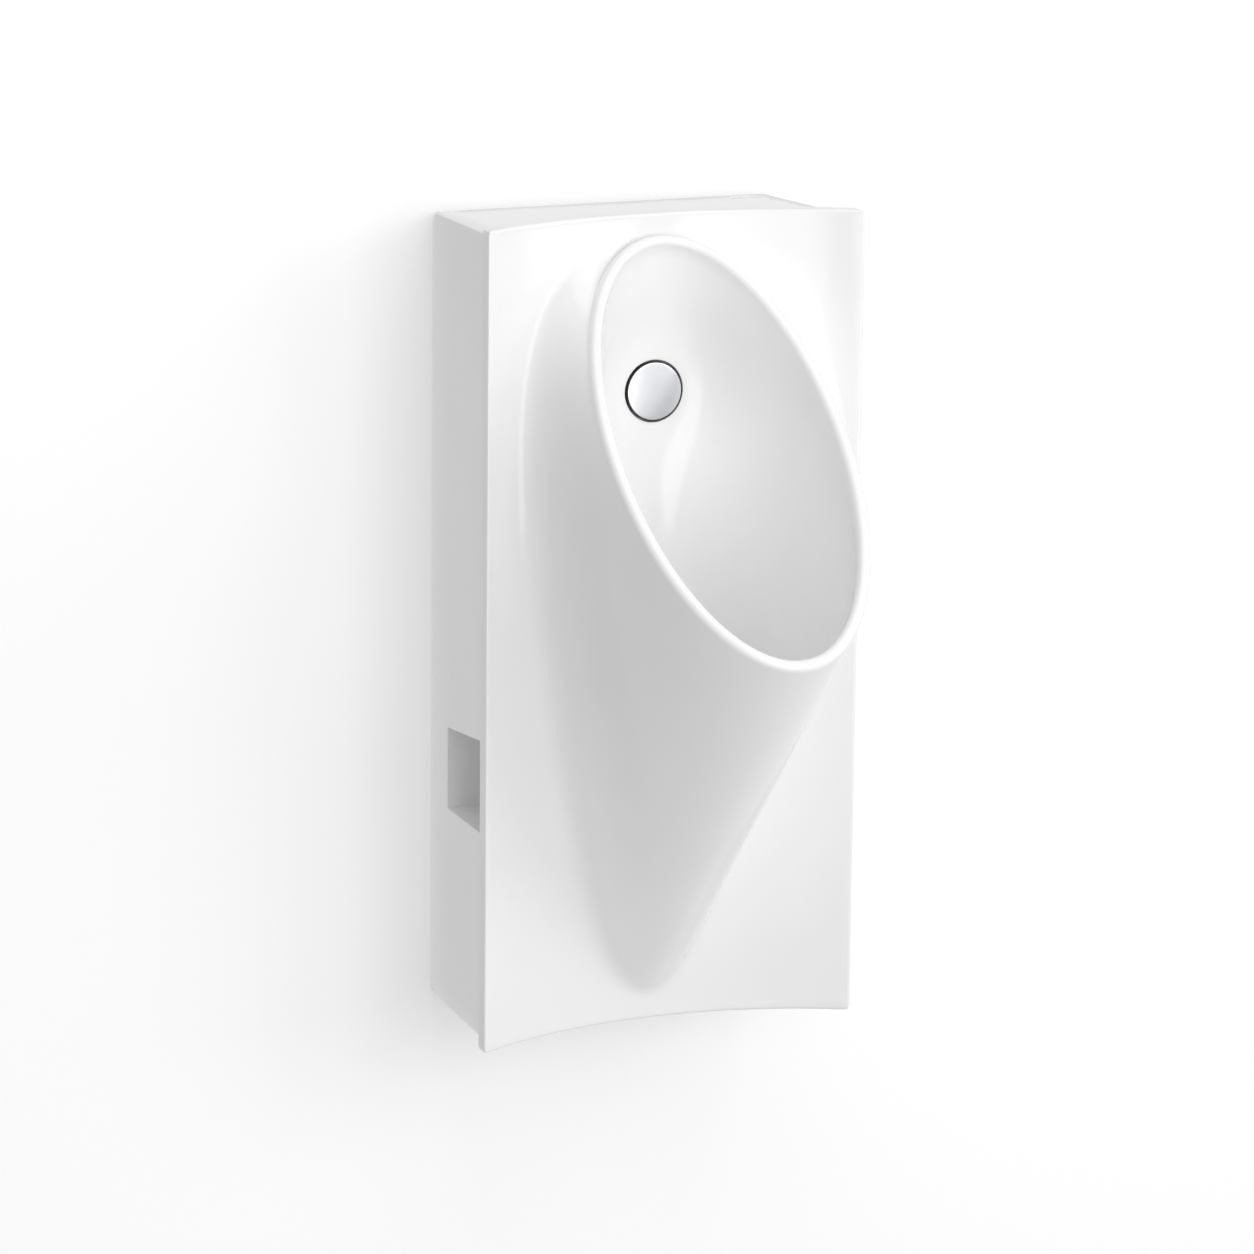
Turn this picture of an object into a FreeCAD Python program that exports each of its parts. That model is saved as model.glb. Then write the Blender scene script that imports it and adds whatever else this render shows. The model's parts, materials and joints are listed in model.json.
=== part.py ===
"""Wall hung urinal: glazed vitreous china body with a funnel bowl, hung on a steel bracket.

Its flush inlet, drain, bottle trap and lower fixings are separate pieces.

Millimetres. The wall is the plane y = 0 and the front faces -Y. X = 0 is the plane of symmetry, +Z is up.
While a piece is made, z = 0 is the lower edge of the front panel. At the end every piece is moved so that
the origin is the centre of the waste outlet's socket, on the wall plane.
"""
import FreeCAD, Part
import math
import os

V = FreeCAD.Vector
AXIS_X, AXIS_Y, AXIS_Z = V(1, 0, 0), V(0, 1, 0), V(0, 0, 1)

# China slab
SLAB_WIDTH = 324.0
SLAB_HEIGHT = 660.0
SLAB_DEPTH = 154.0          # wall to the front corners
FRONT_HOLLOW = 43.0         # the middle of the concave front lies this far behind its corners
CHINA_WALL = 11.0
PANEL_LIP = 5.0             # the front panel stands this proud of the box behind it
SIDE_TAPER = 11.0           # each side draws in by this towards the wall
TOP_TAPER = 2.0
PANEL_EDGE_RADIUS = 2.5
PANEL_CORNER_RADIUS = 4.0

# Rim of the bowl: an ellipse in a plane that leans back from the lip to the slab
RIM_LEAN = 42.9             # degrees between the rim's plane and the wall
RIM_CENTRE_Z = 498.5
RIM_CENTRE_REACH = 252.0    # from the wall
RIM_HALF_WIDTH = 103.2
RIM_HALF_LENGTH = 200.8
RIM_EDGE_RADIUS = 5.0
RIM_EDGE_STEPS = 3

# Outline where the funnel's straight side would meet the slab's front, and that of the soft skirt round it
ROOT_TOP_Z, ROOT_MIDDLE_Z, ROOT_FOOT_Z = 651.0, 490.0, 22.0
ROOT_SWELL = 0.85           # how far the outline's points crowd towards its top
# Each outline: top, widest height, foot, half width, and how square it is above and below the widest height
ROOT_OUTLINE = (ROOT_TOP_Z, ROOT_MIDDLE_Z, ROOT_FOOT_Z, 118.0, 2.8, 1.08)
SKIRT_OUTLINE = (656.0, 390.0, 14.0, 147.0, 1.5, 1.15)
SKIRT_SUNK = 2.5            # the skirt's edge starts this far below the slab's front
SKIRT_STEPS = 4
SHOULDER_SHARE = 0.5        # the skirt's blend ends at most this far up the funnel's side

# Inside of the bowl
BOWL_FLOOR_Z = 225.0
DRAIN_REACH = 165.0         # the drain's axis, from the wall
BOWL_FLOOR_RADIUS = 40.0
BOWL_BACK_REACH = 107.5     # rear wall of the bowl, from the wall, at the inlet's height
# Ovals down the bowl: reach and height of the rear wall, height of the front wall, half width
BOWL_LEVELS = (
    (112.0, 575.0, 344.0, 90.0),
    (107.5, 500.0, 322.0, 81.0),
    (107.5, 425.0, 298.0, 70.0),
    (110.0, 350.0, 272.0, 58.0),
    (116.0, 285.0, 250.0, 49.0),
)

# Hollow of the funnel under the bowl: height and half width
HOLLOW_LEVELS = ((70.0, 16.0), (120.0, 33.0), (175.0, 47.0), (214.0, 54.0))
HOLLOW_NOSE_GAP = 2.0       # more china at the funnel's front than the bare wall

# Flush inlet behind the round cap
INLET_DROP = 143.0          # from the slab's top to the inlet's axis
INLET_Z = SLAB_HEIGHT - INLET_DROP
CAP_RADIUS = 24.0
CAP_GAP = 1.3               # ring through which the water spreads
CAP_THICKNESS = 3.0
CAP_CROWN = 0.8
CAP_LIFT = 2.2              # from the inlet's flange to the back of the cap
CAP_RECESS = 8.0
INLET_PAD_RADIUS = 42.0
INLET_FLANGE_RADIUS = 22.0
INLET_FLANGE_THICKNESS = 2.5
INLET_STEM_RADIUS = 16.5
INLET_BORE_RADIUS = 11.0
INLET_HOLE_CLEARANCE = 0.7
INLET_STEM_LENGTH = 43.0
INLET_SEAL_THICKNESS = 2.0
INLET_SEAL_RADIUS = 26.0
SUPPLY_RADIUS = 13.2
SUPPLY_WALL = 2.7
SUPPLY_END_GAP = 2.0        # the supply tail ends this far in front of the wall
SUPPLY_THREAD_LENGTH = 20.0
SUPPLY_NECK_RADIUS = 12.0   # between the union nut and the thread
SUPPLY_COLLAR_LENGTH = 8.0
THRUST_WASHER_THICKNESS = 2.0
LOCKNUT_LENGTH = 9.0
LOCKNUT_ACROSS_FLATS = 46.0
NUT_CORNER_SHARE = 0.97     # how much of a nut's corners its chamfer leaves
UNION_LENGTH = 20.0
UNION_ACROSS_FLATS = 41.0
UNION_WASHER_THICKNESS = 2.0
UNION_WASHER_RADIUS = 15.5
TAIL_FLANGE_THICKNESS = 3.0
CAP_HUB_LENGTH = 12.0
CAP_HUB_WALL = 2.5
CAP_WINDOWS = 6
CAP_WINDOW_WIDTH = 5.0
RING_GROOVE_DEPTH = 1.5
RING_WIDTH = 2.5

# Drain
DRAIN_THREAD_RADIUS = 26.0
DRAIN_BORE_RADIUS = 23.0
DRAIN_HOLE_CLEARANCE = 2.0
DRAIN_FLANGE_RADIUS = 37.0
DRAIN_FLANGE_THICKNESS = 5.0
DRAIN_SEAL_THICKNESS = 2.0
STRAINER_RADIUS = 32.0
STRAINER_THICKNESS = 2.0
STRAINER_HOLE_RADIUS = 2.6
STRAINER_RING_RADII = (9.5, 17.0)
STRAINER_RING_STEP = 6      # each ring has this many holes more than the one inside it
STRAINER_SKIRT = 6.0
STRAINER_SKIRT_WALL = 1.0
DRAIN_THREAD_LENGTH = 28.0
CHAMBER_RING_THICKNESS = 4.0
CHAMBER_RADIUS = 33.0
CHAMBER_WALL = 3.0
CHAMBER_DEPTH = 50.0
PIPE_RADIUS = 16.0
PIPE_WALL = 2.0
PIPE_BEND_RADIUS = 40.0
PIPE_AXIS_Z = 180.0
SOCKET_RADIUS = 20.0        # outside of the sockets that the pipe is pushed into
SOCKET_LENGTH = 18.0
SLIP_NUT_RADIUS = 25.0
SLIP_NUT_LENGTH = 18.0
PIPE_PUSH_GAP = 3.0         # the pipe stops this far short of a socket's bottom
NUT_GROOVES = 8
NUT_GROOVE_RADIUS = 3.5
GROOVE_OFFSET = 1.5         # grip grooves are centred this far outside the face they are cut in
RING_SEAL_THICKNESS = 3.5

# Bottle trap
TRAP_REACH = 58.0           # the trap's axis, from the wall
TRAP_RADIUS = 31.0
TRAP_WALL = 2.5
TRAP_TOP_Z = 116.0
TRAP_SHOULDER_Z = 71.0
TRAP_SPIGOT_RADIUS = 28.3
TRAP_SPIGOT_LENGTH = 16.0
TRAP_DIP_RADIUS = 14.0
TRAP_DIP_END_Z = 34.0
CUP_FOOT_Z = 17.5
CUP_GRIP_RADIUS = 34.5
CUP_GRIP_HEIGHT = 13.0
CUP_GROOVES = 12
CUP_GROOVE_RADIUS = 3.0
CUP_SEAL_THICKNESS = 2.0
OUTLET_Z = 98.0
OUTLET_BORE_RADIUS = 20.3
OUTLET_SOCKET_RADIUS = 24.5
LIP_SEAL_WIDTH = 5.0
LIP_SEAL_DEPTH = 2.2
ACCESS_HOLE_RADIUS = 40.0

# Side recesses with the lower fixings
RECESS_REAR_REACH = 44.0
RECESS_FLOOR_Z = 174.5
RECESS_HEIGHT = 67.0
RECESS_TOP_RISE = 9.5       # the recess is this much higher at its front than at its rear
RECESS_DEPTH = 75.0
FIXING_INSET = 62.0         # from the slab's side edge
FIXING_HALF_SPACING = SLAB_WIDTH / 2 - FIXING_INSET
FIXING_Z = 208.0
FIXING_BOSS_RADIUS = 17.0
BUSH_RADIUS = 6.8
BUSH_FLANGE_RADIUS = 13.0
BUSH_FLANGE_THICKNESS = 3.0
FIXING_BORE_RADIUS = 4.5
WASHER_RADIUS = 12.0
WASHER_THICKNESS = 2.0

# Wall hanger
LEDGE_DROP = 60.0           # from the slab's top to the underside of the china rib that rests on the hooks
LEDGE_Z = SLAB_HEIGHT - LEDGE_DROP
LEDGE_HALF_WIDTH = 110.0
LEDGE_REAR_REACH = 6.0
LEDGE_THICKNESS = 18.0
HANGER_STEEL = 3.0
HANGER_HALF_WIDTH = 105.0
HANGER_HEIGHT = 40.0
HANGER_HOLE_HALF_SPACING = 85.0
HANGER_HOLE_DROP = 25.0     # below the ledge
HOOK_WIDTH = 36.0
HOOK_HALF_SPACING = 70.0
HOOK_UPSTAND = 12.0
HANGER_CORNER_RADIUS = 9.0

# Fits
SLIDING_CLEARANCE = 0.06
SOFT_CLEARANCE = 0.3
THREAD_CLEARANCE = 0.1

RING_POINTS = 32
OVERRUN = 1.0               # cutting shapes reach this far past what they cut
TINY = 0.1                  # shorter than any real edge

# Places along the inlet's axis, as distances from the wall
CAP_SEAT_REACH = BOWL_BACK_REACH - CAP_RECESS
PAD_BACK_REACH = CAP_SEAT_REACH - CHINA_WALL + INLET_SEAL_THICKNESS
FLANGE_BACK_REACH = CAP_SEAT_REACH + INLET_SEAL_THICKNESS
FLANGE_FRONT_REACH = FLANGE_BACK_REACH + INLET_FLANGE_THICKNESS
STEM_END_REACH = FLANGE_FRONT_REACH - INLET_STEM_LENGTH
TAIL_START_REACH = STEM_END_REACH - UNION_WASHER_THICKNESS

# Heights down the drain's axis
FLANGE_FOOT_Z = BOWL_FLOOR_Z + DRAIN_SEAL_THICKNESS
FLANGE_TOP_Z = FLANGE_FOOT_Z + DRAIN_FLANGE_THICKNESS
STRAINER_SEAT_Z = FLANGE_TOP_Z - STRAINER_THICKNESS
CHAMBER_TOP_Z = BOWL_FLOOR_Z - CHINA_WALL - DRAIN_SEAL_THICKNESS

# Ends of the two sockets that the pipe is pushed into
SPIGOT_END = V(0, -DRAIN_REACH + CHAMBER_RADIUS + SOCKET_LENGTH, PIPE_AXIS_Z)
TRAP_SOCKET_TOP_Z = TRAP_TOP_Z + SOCKET_LENGTH


def front_reach(x, behind=0.0):
    """Distance from the wall to the concave front (or to a face a given distance behind it) at x."""
    half = SLAB_WIDTH / 2
    radius = (half ** 2 + FRONT_HOLLOW ** 2) / (2 * FRONT_HOLLOW)
    centre = SLAB_DEPTH - FRONT_HOLLOW + radius
    return centre - math.sqrt((radius + behind) ** 2 - x ** 2)


def box(x0, x1, y0, y1, z0, z1):
    return Part.makeBox(x1 - x0, y1 - y0, z1 - z0, V(x0, y0, z0))


def cylinder(radius, length, base, direction=AXIS_Z):
    return Part.makeCylinder(radius, length, base, direction)


def tube(outer, inner, length, base, direction=AXIS_Z):
    bore = cylinder(inner, length + 2 * OVERRUN, base - direction * OVERRUN, direction)
    return cylinder(outer, length, base, direction).cut(bore)


def hex_ring(across_flats, inner, length, base, direction):
    """A six-sided nut with a plain bore."""
    corner = across_flats / math.sqrt(3)
    side_y = direction.cross(AXIS_X)
    points = []
    for i in range(7):
        angle = math.radians(60 * i)
        points.append(base + AXIS_X * (corner * math.cos(angle)) + side_y * (corner * math.sin(angle)))
    prism = Part.Face(Part.makePolygon(points)).extrude(direction * length)
    round_off = cylinder(corner * NUT_CORNER_SHARE, length, base, direction)
    bore = cylinder(inner, length + 2 * OVERRUN, base - direction * OVERRUN, direction)
    return prism.common(round_off).cut(bore)


def turned(profile, base, direction):
    """A solid of revolution: profile is a closed list of (radius, distance along the axis)."""
    points = [base + AXIS_X * r + direction * a for r, a in profile]
    points.append(points[0])
    return Part.Face(Part.makePolygon(points)).revolve(base, direction, 360)


def behind_front(behind):
    """The room behind the concave front, or behind a face parallel to it."""
    half = SLAB_WIDTH / 2 + PANEL_LIP
    left = V(-half, -front_reach(half, behind), 0)
    middle = V(0, -front_reach(0, behind), 0)
    right = V(half, -front_reach(half, behind), 0)
    back_right, back_left = V(half, SLAB_DEPTH, 0), V(-half, SLAB_DEPTH, 0)
    edges = [
        Part.Arc(left, middle, right).toShape(),
        Part.makeLine(right, back_right),
        Part.makeLine(back_right, back_left),
        Part.makeLine(back_left, left),
    ]
    room = Part.Face(Part.Wire(edges)).extrude(V(0, 0, SLAB_HEIGHT + 2 * PANEL_LIP))
    room.translate(V(0, 0, -PANEL_LIP))
    return room


def tapered_box(inset):
    """The box behind the front panel, drawn in by an inset on every side but the open back."""
    def rectangle(reach, draw_x, draw_z):
        x = SLAB_WIDTH / 2 - PANEL_LIP - draw_x - inset
        low = PANEL_LIP + draw_z + inset
        high = SLAB_HEIGHT - PANEL_LIP - draw_z - inset
        corners = [V(-x, -reach, low), V(x, -reach, low), V(x, -reach, high), V(-x, -reach, high)]
        return Part.makePolygon(corners + corners[:1])
    return Part.makeLoft([rectangle(SLAB_DEPTH, 0, 0), rectangle(0, SIDE_TAPER, TOP_TAPER)], True, True)


def front_panel():
    half = SLAB_WIDTH / 2
    block = box(-half, half, -SLAB_DEPTH - OVERRUN, -SLAB_DEPTH + FRONT_HOLLOW + CHINA_WALL, 0, SLAB_HEIGHT)
    upright = [e for e in block.Edges if abs(abs(e.BoundBox.Center.x) - half) < TINY
               and e.BoundBox.YLength > SLAB_DEPTH / 4]
    block = block.makeFillet(PANEL_CORNER_RADIUS, upright)
    panel = block.common(behind_front(0)).cut(behind_front(CHINA_WALL))
    front_edges = []
    for edge in panel.Edges:
        middle = edge.valueAt((edge.FirstParameter + edge.LastParameter) / 2)
        if abs(middle.y + front_reach(middle.x)) < TINY:
            front_edges.append(edge)
    return panel.makeFillet(PANEL_EDGE_RADIUS, front_edges)


def outline_half_width(z, outline):
    """Half width of a teardrop outline at height z: round above its middle, drawn out below it."""
    top, middle, foot, widest, upper_power, lower_power = outline
    if z >= middle:
        share = (z - middle) / (top - middle)
        power = upper_power
    else:
        share = (middle - z) / (middle - foot)
        power = lower_power
    return widest * math.sqrt(1 - min(1.0, share) ** power)


def root_height(angle):
    """Height of the root's outline; the angle runs from the top, through +X, round to the top."""
    lean = (ROOT_TOP_Z - ROOT_FOOT_Z) / 2
    centre = (ROOT_TOP_Z + ROOT_FOOT_Z) / 2
    swell = (ROOT_MIDDLE_Z - centre) * ROOT_SWELL
    return centre + lean * math.cos(angle) + swell * math.sin(angle) ** 2


def outline_point(angle, outline):
    """A point of an outline on the slab's front, level with the root's point at the same angle."""
    top, foot = outline[0], outline[2]
    z = foot + (root_height(angle) - ROOT_FOOT_Z) * (top - foot) / (ROOT_TOP_Z - ROOT_FOOT_Z)
    x = math.copysign(outline_half_width(z, outline), math.sin(angle))
    return V(x, -front_reach(x), z)


def root_point(angle):
    """A point where the funnel's straight side would meet the slab's front."""
    return outline_point(angle, ROOT_OUTLINE)


def skirt_point(angle):
    return outline_point(angle, SKIRT_OUTLINE)


def rim_point(angle, inset=0.0, rise=0.0):
    """A point of the rim's ellipse, drawn in by an inset and lifted off the rim's plane by a rise."""
    lean = math.radians(RIM_LEAN)
    across = (RIM_HALF_WIDTH - inset) * math.sin(angle)
    along = (RIM_HALF_LENGTH - inset) * math.cos(angle)
    y = -RIM_CENTRE_REACH + along * math.sin(lean) - rise * math.cos(lean)
    z = RIM_CENTRE_Z + along * math.cos(lean) + rise * math.sin(lean)
    return V(across, y, z)


def ring(point_at):
    """A closed smooth wire through the points of a formula, one angle after the other."""
    curve = Part.BSplineCurve()
    points = [point_at(2 * math.pi * i / RING_POINTS) for i in range(RING_POINTS)]
    curve.interpolate(Points=points, PeriodicFlag=True)
    return Part.Wire(curve.toShape())


def funnel_outside():
    """The funnel that leans out of the slab, with the soft skirt at its root. It is solid here."""
    def sunk(depth):
        def at(angle):
            p = skirt_point(angle)
            return V(p.x, p.y + depth, p.z)
        return at

    def flat(angle):
        p = skirt_point(angle)
        return V(p.x, -(SLAB_DEPTH - FRONT_HOLLOW - CHINA_WALL) + CHINA_WALL, p.z)

    def shoulder(angle):
        root, rim, skirt = root_point(angle), rim_point(angle), skirt_point(angle)
        run = (rim - root).Length
        return root + (rim - root) * (min(run * SHOULDER_SHARE, (skirt - root).Length) / run)

    def blend(share):
        def at(angle):
            a, b, c = sunk(SKIRT_SUNK)(angle), root_point(angle), shoulder(angle)
            return a * (1 - share) ** 2 + b * (2 * share * (1 - share)) + c * share ** 2
        return at

    rings = [ring(flat), ring(sunk(SKIRT_SUNK))]
    rings += [ring(blend((i + 1) / SKIRT_STEPS)) for i in range(SKIRT_STEPS)]
    rings += rim_rings(0.0, 1.0)
    return Part.makeLoft(rings, True, True)


def rim_rings(inset, way):
    """Ovals that round one edge of the rim, up to its flat top; way is 1 for the outer edge, else -1."""
    rings = []
    for i in range(RIM_EDGE_STEPS + 1):
        turn = math.pi / 2 * i / RIM_EDGE_STEPS
        drawn = inset + way * RIM_EDGE_RADIUS * (1 - math.cos(turn))
        rise = -RIM_EDGE_RADIUS * (1 - math.sin(turn))
        rings.append(ring(lambda a: rim_point(a, drawn, rise)))
    return rings


def bowl_section(back, front, half_width, inset=0.0):
    """A closed oval across the bowl, from a (reach, z) of its rear wall to one of its front wall."""
    back_p, front_p = V(0, -back[0], back[1]), V(0, -front[0], front[1])
    centre = (back_p + front_p) * 0.5
    along = back_p - centre
    length = along.Length
    along.normalize()

    def at(angle):
        across = AXIS_X * ((half_width - inset) * math.sin(angle))
        return centre + across + along * ((length - inset) * math.cos(angle))
    return ring(at)


def front_wall_reach(z):
    """Reach of the funnel's outside along its front, at a height below the lip."""
    foot = root_point(math.pi)
    lip = rim_point(math.pi)
    share = (z - foot.z) / (lip.z - foot.z)
    return -(foot.y + (lip.y - foot.y) * share)


def front_wall_inside(z):
    foot, lip = root_point(math.pi), rim_point(math.pi)
    lean = math.atan2(foot.y - lip.y, lip.z - foot.z)
    return front_wall_reach(z) - CHINA_WALL / math.cos(lean)


def bowl_room(grow, floor_drop, rise):
    """The inside of the bowl, or (grown by the wall) the outside of its hidden rear part."""
    inset = CHINA_WALL - grow
    if grow == 0:
        rings = rim_rings(inset, -1.0)[::-1]
        rings.insert(0, ring(lambda a: rim_point(a, inset - RIM_EDGE_RADIUS, rise)))
    else:
        rings = [ring(lambda a: rim_point(a, inset, rise)), ring(lambda a: rim_point(a, inset))]
    for back_reach, back_z, front_z, half_width in BOWL_LEVELS:
        front = (front_wall_inside(front_z), front_z)
        rings.append(bowl_section((back_reach, back_z), front, half_width, -grow))
    floor_radius = BOWL_FLOOR_RADIUS + grow

    def floor_edge(angle):
        return drain_at(BOWL_FLOOR_Z - floor_drop) + V(math.sin(angle), math.cos(angle), 0) * floor_radius
    rings.append(ring(floor_edge))
    return Part.makeLoft(rings, True, True)


def hollow_under_bowl():
    """The hollow of the funnel below the bowl's floor, open to the back of the slab, for the drain."""
    rear = SLAB_DEPTH - FRONT_HOLLOW - 2 * CHINA_WALL
    rings = []
    for z, half_width in HOLLOW_LEVELS:
        depth = front_wall_inside(z) - HOLLOW_NOSE_GAP - rear
        side = V(half_width, -rear, z)
        points = [V(-half_width, -rear + CHINA_WALL, z), V(-half_width, -rear, z)]
        nose = Part.BSplineCurve()
        nose.interpolate([
            V(half_width * math.sin(math.radians(a)), -rear - depth * math.cos(math.radians(a)), z)
            for a in range(-90, 91, 30)
        ])
        back_right, back_left = V(half_width, -rear + CHINA_WALL, z), points[0]
        rings.append(Part.Wire([
            Part.makeLine(back_left, points[1]),
            nose.toShape(),
            Part.makeLine(side, back_right),
            Part.makeLine(back_right, back_left),
        ]))
    return Part.makeLoft(rings, True, False)


def side_recess(side, grow):
    """The recess in one side, or (grown by the wall) the china box round it."""
    outside = SLAB_WIDTH / 2 + OVERRUN
    inside = SLAB_WIDTH / 2 - PANEL_LIP - RECESS_DEPTH - grow
    rear = RECESS_REAR_REACH - grow
    low = RECESS_FLOOR_Z - grow
    high_rear = RECESS_FLOOR_Z + RECESS_HEIGHT + grow
    high_front = high_rear + RECESS_TOP_RISE
    points = [V(side * inside, -rear, low), V(side * inside, -SLAB_DEPTH, low),
              V(side * inside, -SLAB_DEPTH, high_front), V(side * inside, -rear, high_rear)]
    prism = Part.Face(Part.makePolygon(points + points[:1])).extrude(V(side * (outside - inside), 0, 0))
    return prism.common(behind_front(CHINA_WALL if grow == 0 else 0))


def china_body():
    outside = tapered_box(0).common(behind_front(CHINA_WALL / 2)).fuse(front_panel())
    funnel = funnel_outside()
    outside = outside.fuse(funnel)
    pad_thickness = BOWL_BACK_REACH - PAD_BACK_REACH
    inlet_pad = cylinder(INLET_PAD_RADIUS, pad_thickness, inlet_at(BOWL_BACK_REACH), AXIS_Y)
    ledge = box(-LEDGE_HALF_WIDTH, LEDGE_HALF_WIDTH, -LEDGE_REAR_REACH - LEDGE_THICKNESS, -LEDGE_REAR_REACH,
                LEDGE_Z, SLAB_HEIGHT - PANEL_LIP - CHINA_WALL / 2)
    room = tapered_box(CHINA_WALL).common(behind_front(CHINA_WALL)).fuse(hollow_under_bowl())
    room = room.cut(bowl_room(CHINA_WALL, CHINA_WALL, OVERRUN / 2))
    for side in (-1, 1):
        room = room.cut(side_recess(side, CHINA_WALL))
        boss_base = V(side * FIXING_HALF_SPACING, -RECESS_REAR_REACH, FIXING_Z)
        room = room.cut(cylinder(FIXING_BOSS_RADIUS, RECESS_REAR_REACH, boss_base, AXIS_Y))
    room = room.cut(inlet_pad).cut(ledge)
    body = outside.cut(room).cut(bowl_room(0, 0, 3 * CHINA_WALL))
    for side in (-1, 1):
        body = body.cut(side_recess(side, 0))
        hole_base = V(side * FIXING_HALF_SPACING, -RECESS_REAR_REACH - OVERRUN, FIXING_Z)
        hole_length = RECESS_REAR_REACH + 2 * OVERRUN
        body = body.cut(cylinder(BUSH_RADIUS + SOFT_CLEARANCE, hole_length, hole_base, AXIS_Y))
    body = body.cut(cylinder(CAP_RADIUS + CAP_GAP, 3 * CHINA_WALL + CAP_RECESS,
                             inlet_at(BOWL_BACK_REACH + 3 * CHINA_WALL), AXIS_Y))
    body = body.cut(cylinder(INLET_STEM_RADIUS + INLET_HOLE_CLEARANCE, 4 * CHINA_WALL,
                             inlet_at(BOWL_BACK_REACH), AXIS_Y))
    body = body.cut(cylinder(DRAIN_THREAD_RADIUS + DRAIN_HOLE_CLEARANCE, 3 * CHINA_WALL,
                             V(0, -DRAIN_REACH, BOWL_FLOOR_Z - 2 * CHINA_WALL)))
    body = body.cut(cylinder(ACCESS_HOLE_RADIUS, 3 * CHINA_WALL, V(0, -TRAP_REACH, -CHINA_WALL)))
    return body


def fixing_points():
    return [V(side * FIXING_HALF_SPACING, -RECESS_REAR_REACH, FIXING_Z) for side in (-1, 1)]


def lower_fixing_bushes():
    """Flanged plastic bushes that keep the fixing screws off the china."""
    bushes = []
    for point in fixing_points():
        sleeve = cylinder(BUSH_RADIUS, RECESS_REAR_REACH, point, AXIS_Y)
        flange = cylinder(BUSH_FLANGE_RADIUS, BUSH_FLANGE_THICKNESS, point, -AXIS_Y)
        bore_base = point - AXIS_Y * (BUSH_FLANGE_THICKNESS + OVERRUN)
        bore_length = RECESS_REAR_REACH + BUSH_FLANGE_THICKNESS + 2 * OVERRUN
        bore = cylinder(FIXING_BORE_RADIUS, bore_length, bore_base, AXIS_Y)
        bushes.append(sleeve.fuse(flange).removeSplitter().cut(bore))
    return Part.Compound(bushes)


def lower_fixing_washers():
    front = -AXIS_Y * (BUSH_FLANGE_THICKNESS + WASHER_THICKNESS)
    return Part.Compound([tube(WASHER_RADIUS, FIXING_BORE_RADIUS, WASHER_THICKNESS, point + front, AXIS_Y)
                          for point in fixing_points()])


def wall_hanger():
    """A bent steel bracket on the wall. The china's rib rests on its two hooks."""
    half = HANGER_HALF_WIDTH
    plate = box(-half, half, -HANGER_STEEL, 0, LEDGE_Z - HANGER_HEIGHT, LEDGE_Z - HANGER_STEEL)
    low_corners = [e for e in plate.Edges if e.BoundBox.XLength < TINY and e.BoundBox.ZLength < TINY
                   and e.BoundBox.ZMin < LEDGE_Z - HANGER_HEIGHT / 2]
    bracket = plate.makeFillet(HANGER_CORNER_RADIUS, low_corners)
    upstand_reach = LEDGE_REAR_REACH + LEDGE_THICKNESS + SOFT_CLEARANCE
    for side in (-1, 1):
        x0 = side * HOOK_HALF_SPACING - HOOK_WIDTH / 2
        x1 = x0 + HOOK_WIDTH
        shelf = box(x0, x1, -upstand_reach - HANGER_STEEL, 0, LEDGE_Z - HANGER_STEEL, LEDGE_Z)
        upstand = box(x0, x1, -upstand_reach - HANGER_STEEL, -upstand_reach, LEDGE_Z, LEDGE_Z + HOOK_UPSTAND)
        bracket = bracket.fuse(shelf).fuse(upstand)
    for side in (-1, 1):
        hole_base = V(side * HANGER_HOLE_HALF_SPACING, -2 * HANGER_STEEL, LEDGE_Z - HANGER_HOLE_DROP)
        bracket = bracket.cut(cylinder(FIXING_BORE_RADIUS, 3 * HANGER_STEEL, hole_base, AXIS_Y))
    return bracket.removeSplitter()


def inlet_at(reach):
    return V(0, -reach, INLET_Z)


def inlet_body():
    """Brass stem through the china, with a flange in the bowl and a thread behind."""
    flange = cylinder(INLET_FLANGE_RADIUS, INLET_FLANGE_THICKNESS, inlet_at(FLANGE_FRONT_REACH), AXIS_Y)
    stem = cylinder(INLET_STEM_RADIUS, INLET_STEM_LENGTH, inlet_at(FLANGE_FRONT_REACH), AXIS_Y)
    bore = cylinder(INLET_BORE_RADIUS, INLET_STEM_LENGTH + 2 * OVERRUN,
                    inlet_at(FLANGE_FRONT_REACH + OVERRUN), AXIS_Y)
    return flange.fuse(stem).removeSplitter().cut(bore)


def inlet_seal(reach, radius):
    return tube(radius, INLET_STEM_RADIUS + THREAD_CLEARANCE, INLET_SEAL_THICKNESS, inlet_at(reach), AXIS_Y)


def inlet_thrust_washer():
    reach = PAD_BACK_REACH - INLET_SEAL_THICKNESS
    return tube(INLET_SEAL_RADIUS, INLET_STEM_RADIUS + THREAD_CLEARANCE, THRUST_WASHER_THICKNESS,
                inlet_at(reach), AXIS_Y)


def inlet_locknut():
    reach = PAD_BACK_REACH - INLET_SEAL_THICKNESS - THRUST_WASHER_THICKNESS
    return hex_ring(LOCKNUT_ACROSS_FLATS, INLET_STEM_RADIUS + THREAD_CLEARANCE, LOCKNUT_LENGTH,
                    inlet_at(reach), AXIS_Y)


def union_washer():
    return tube(UNION_WASHER_RADIUS, INLET_BORE_RADIUS, UNION_WASHER_THICKNESS,
                inlet_at(STEM_END_REACH), AXIS_Y)


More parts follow.
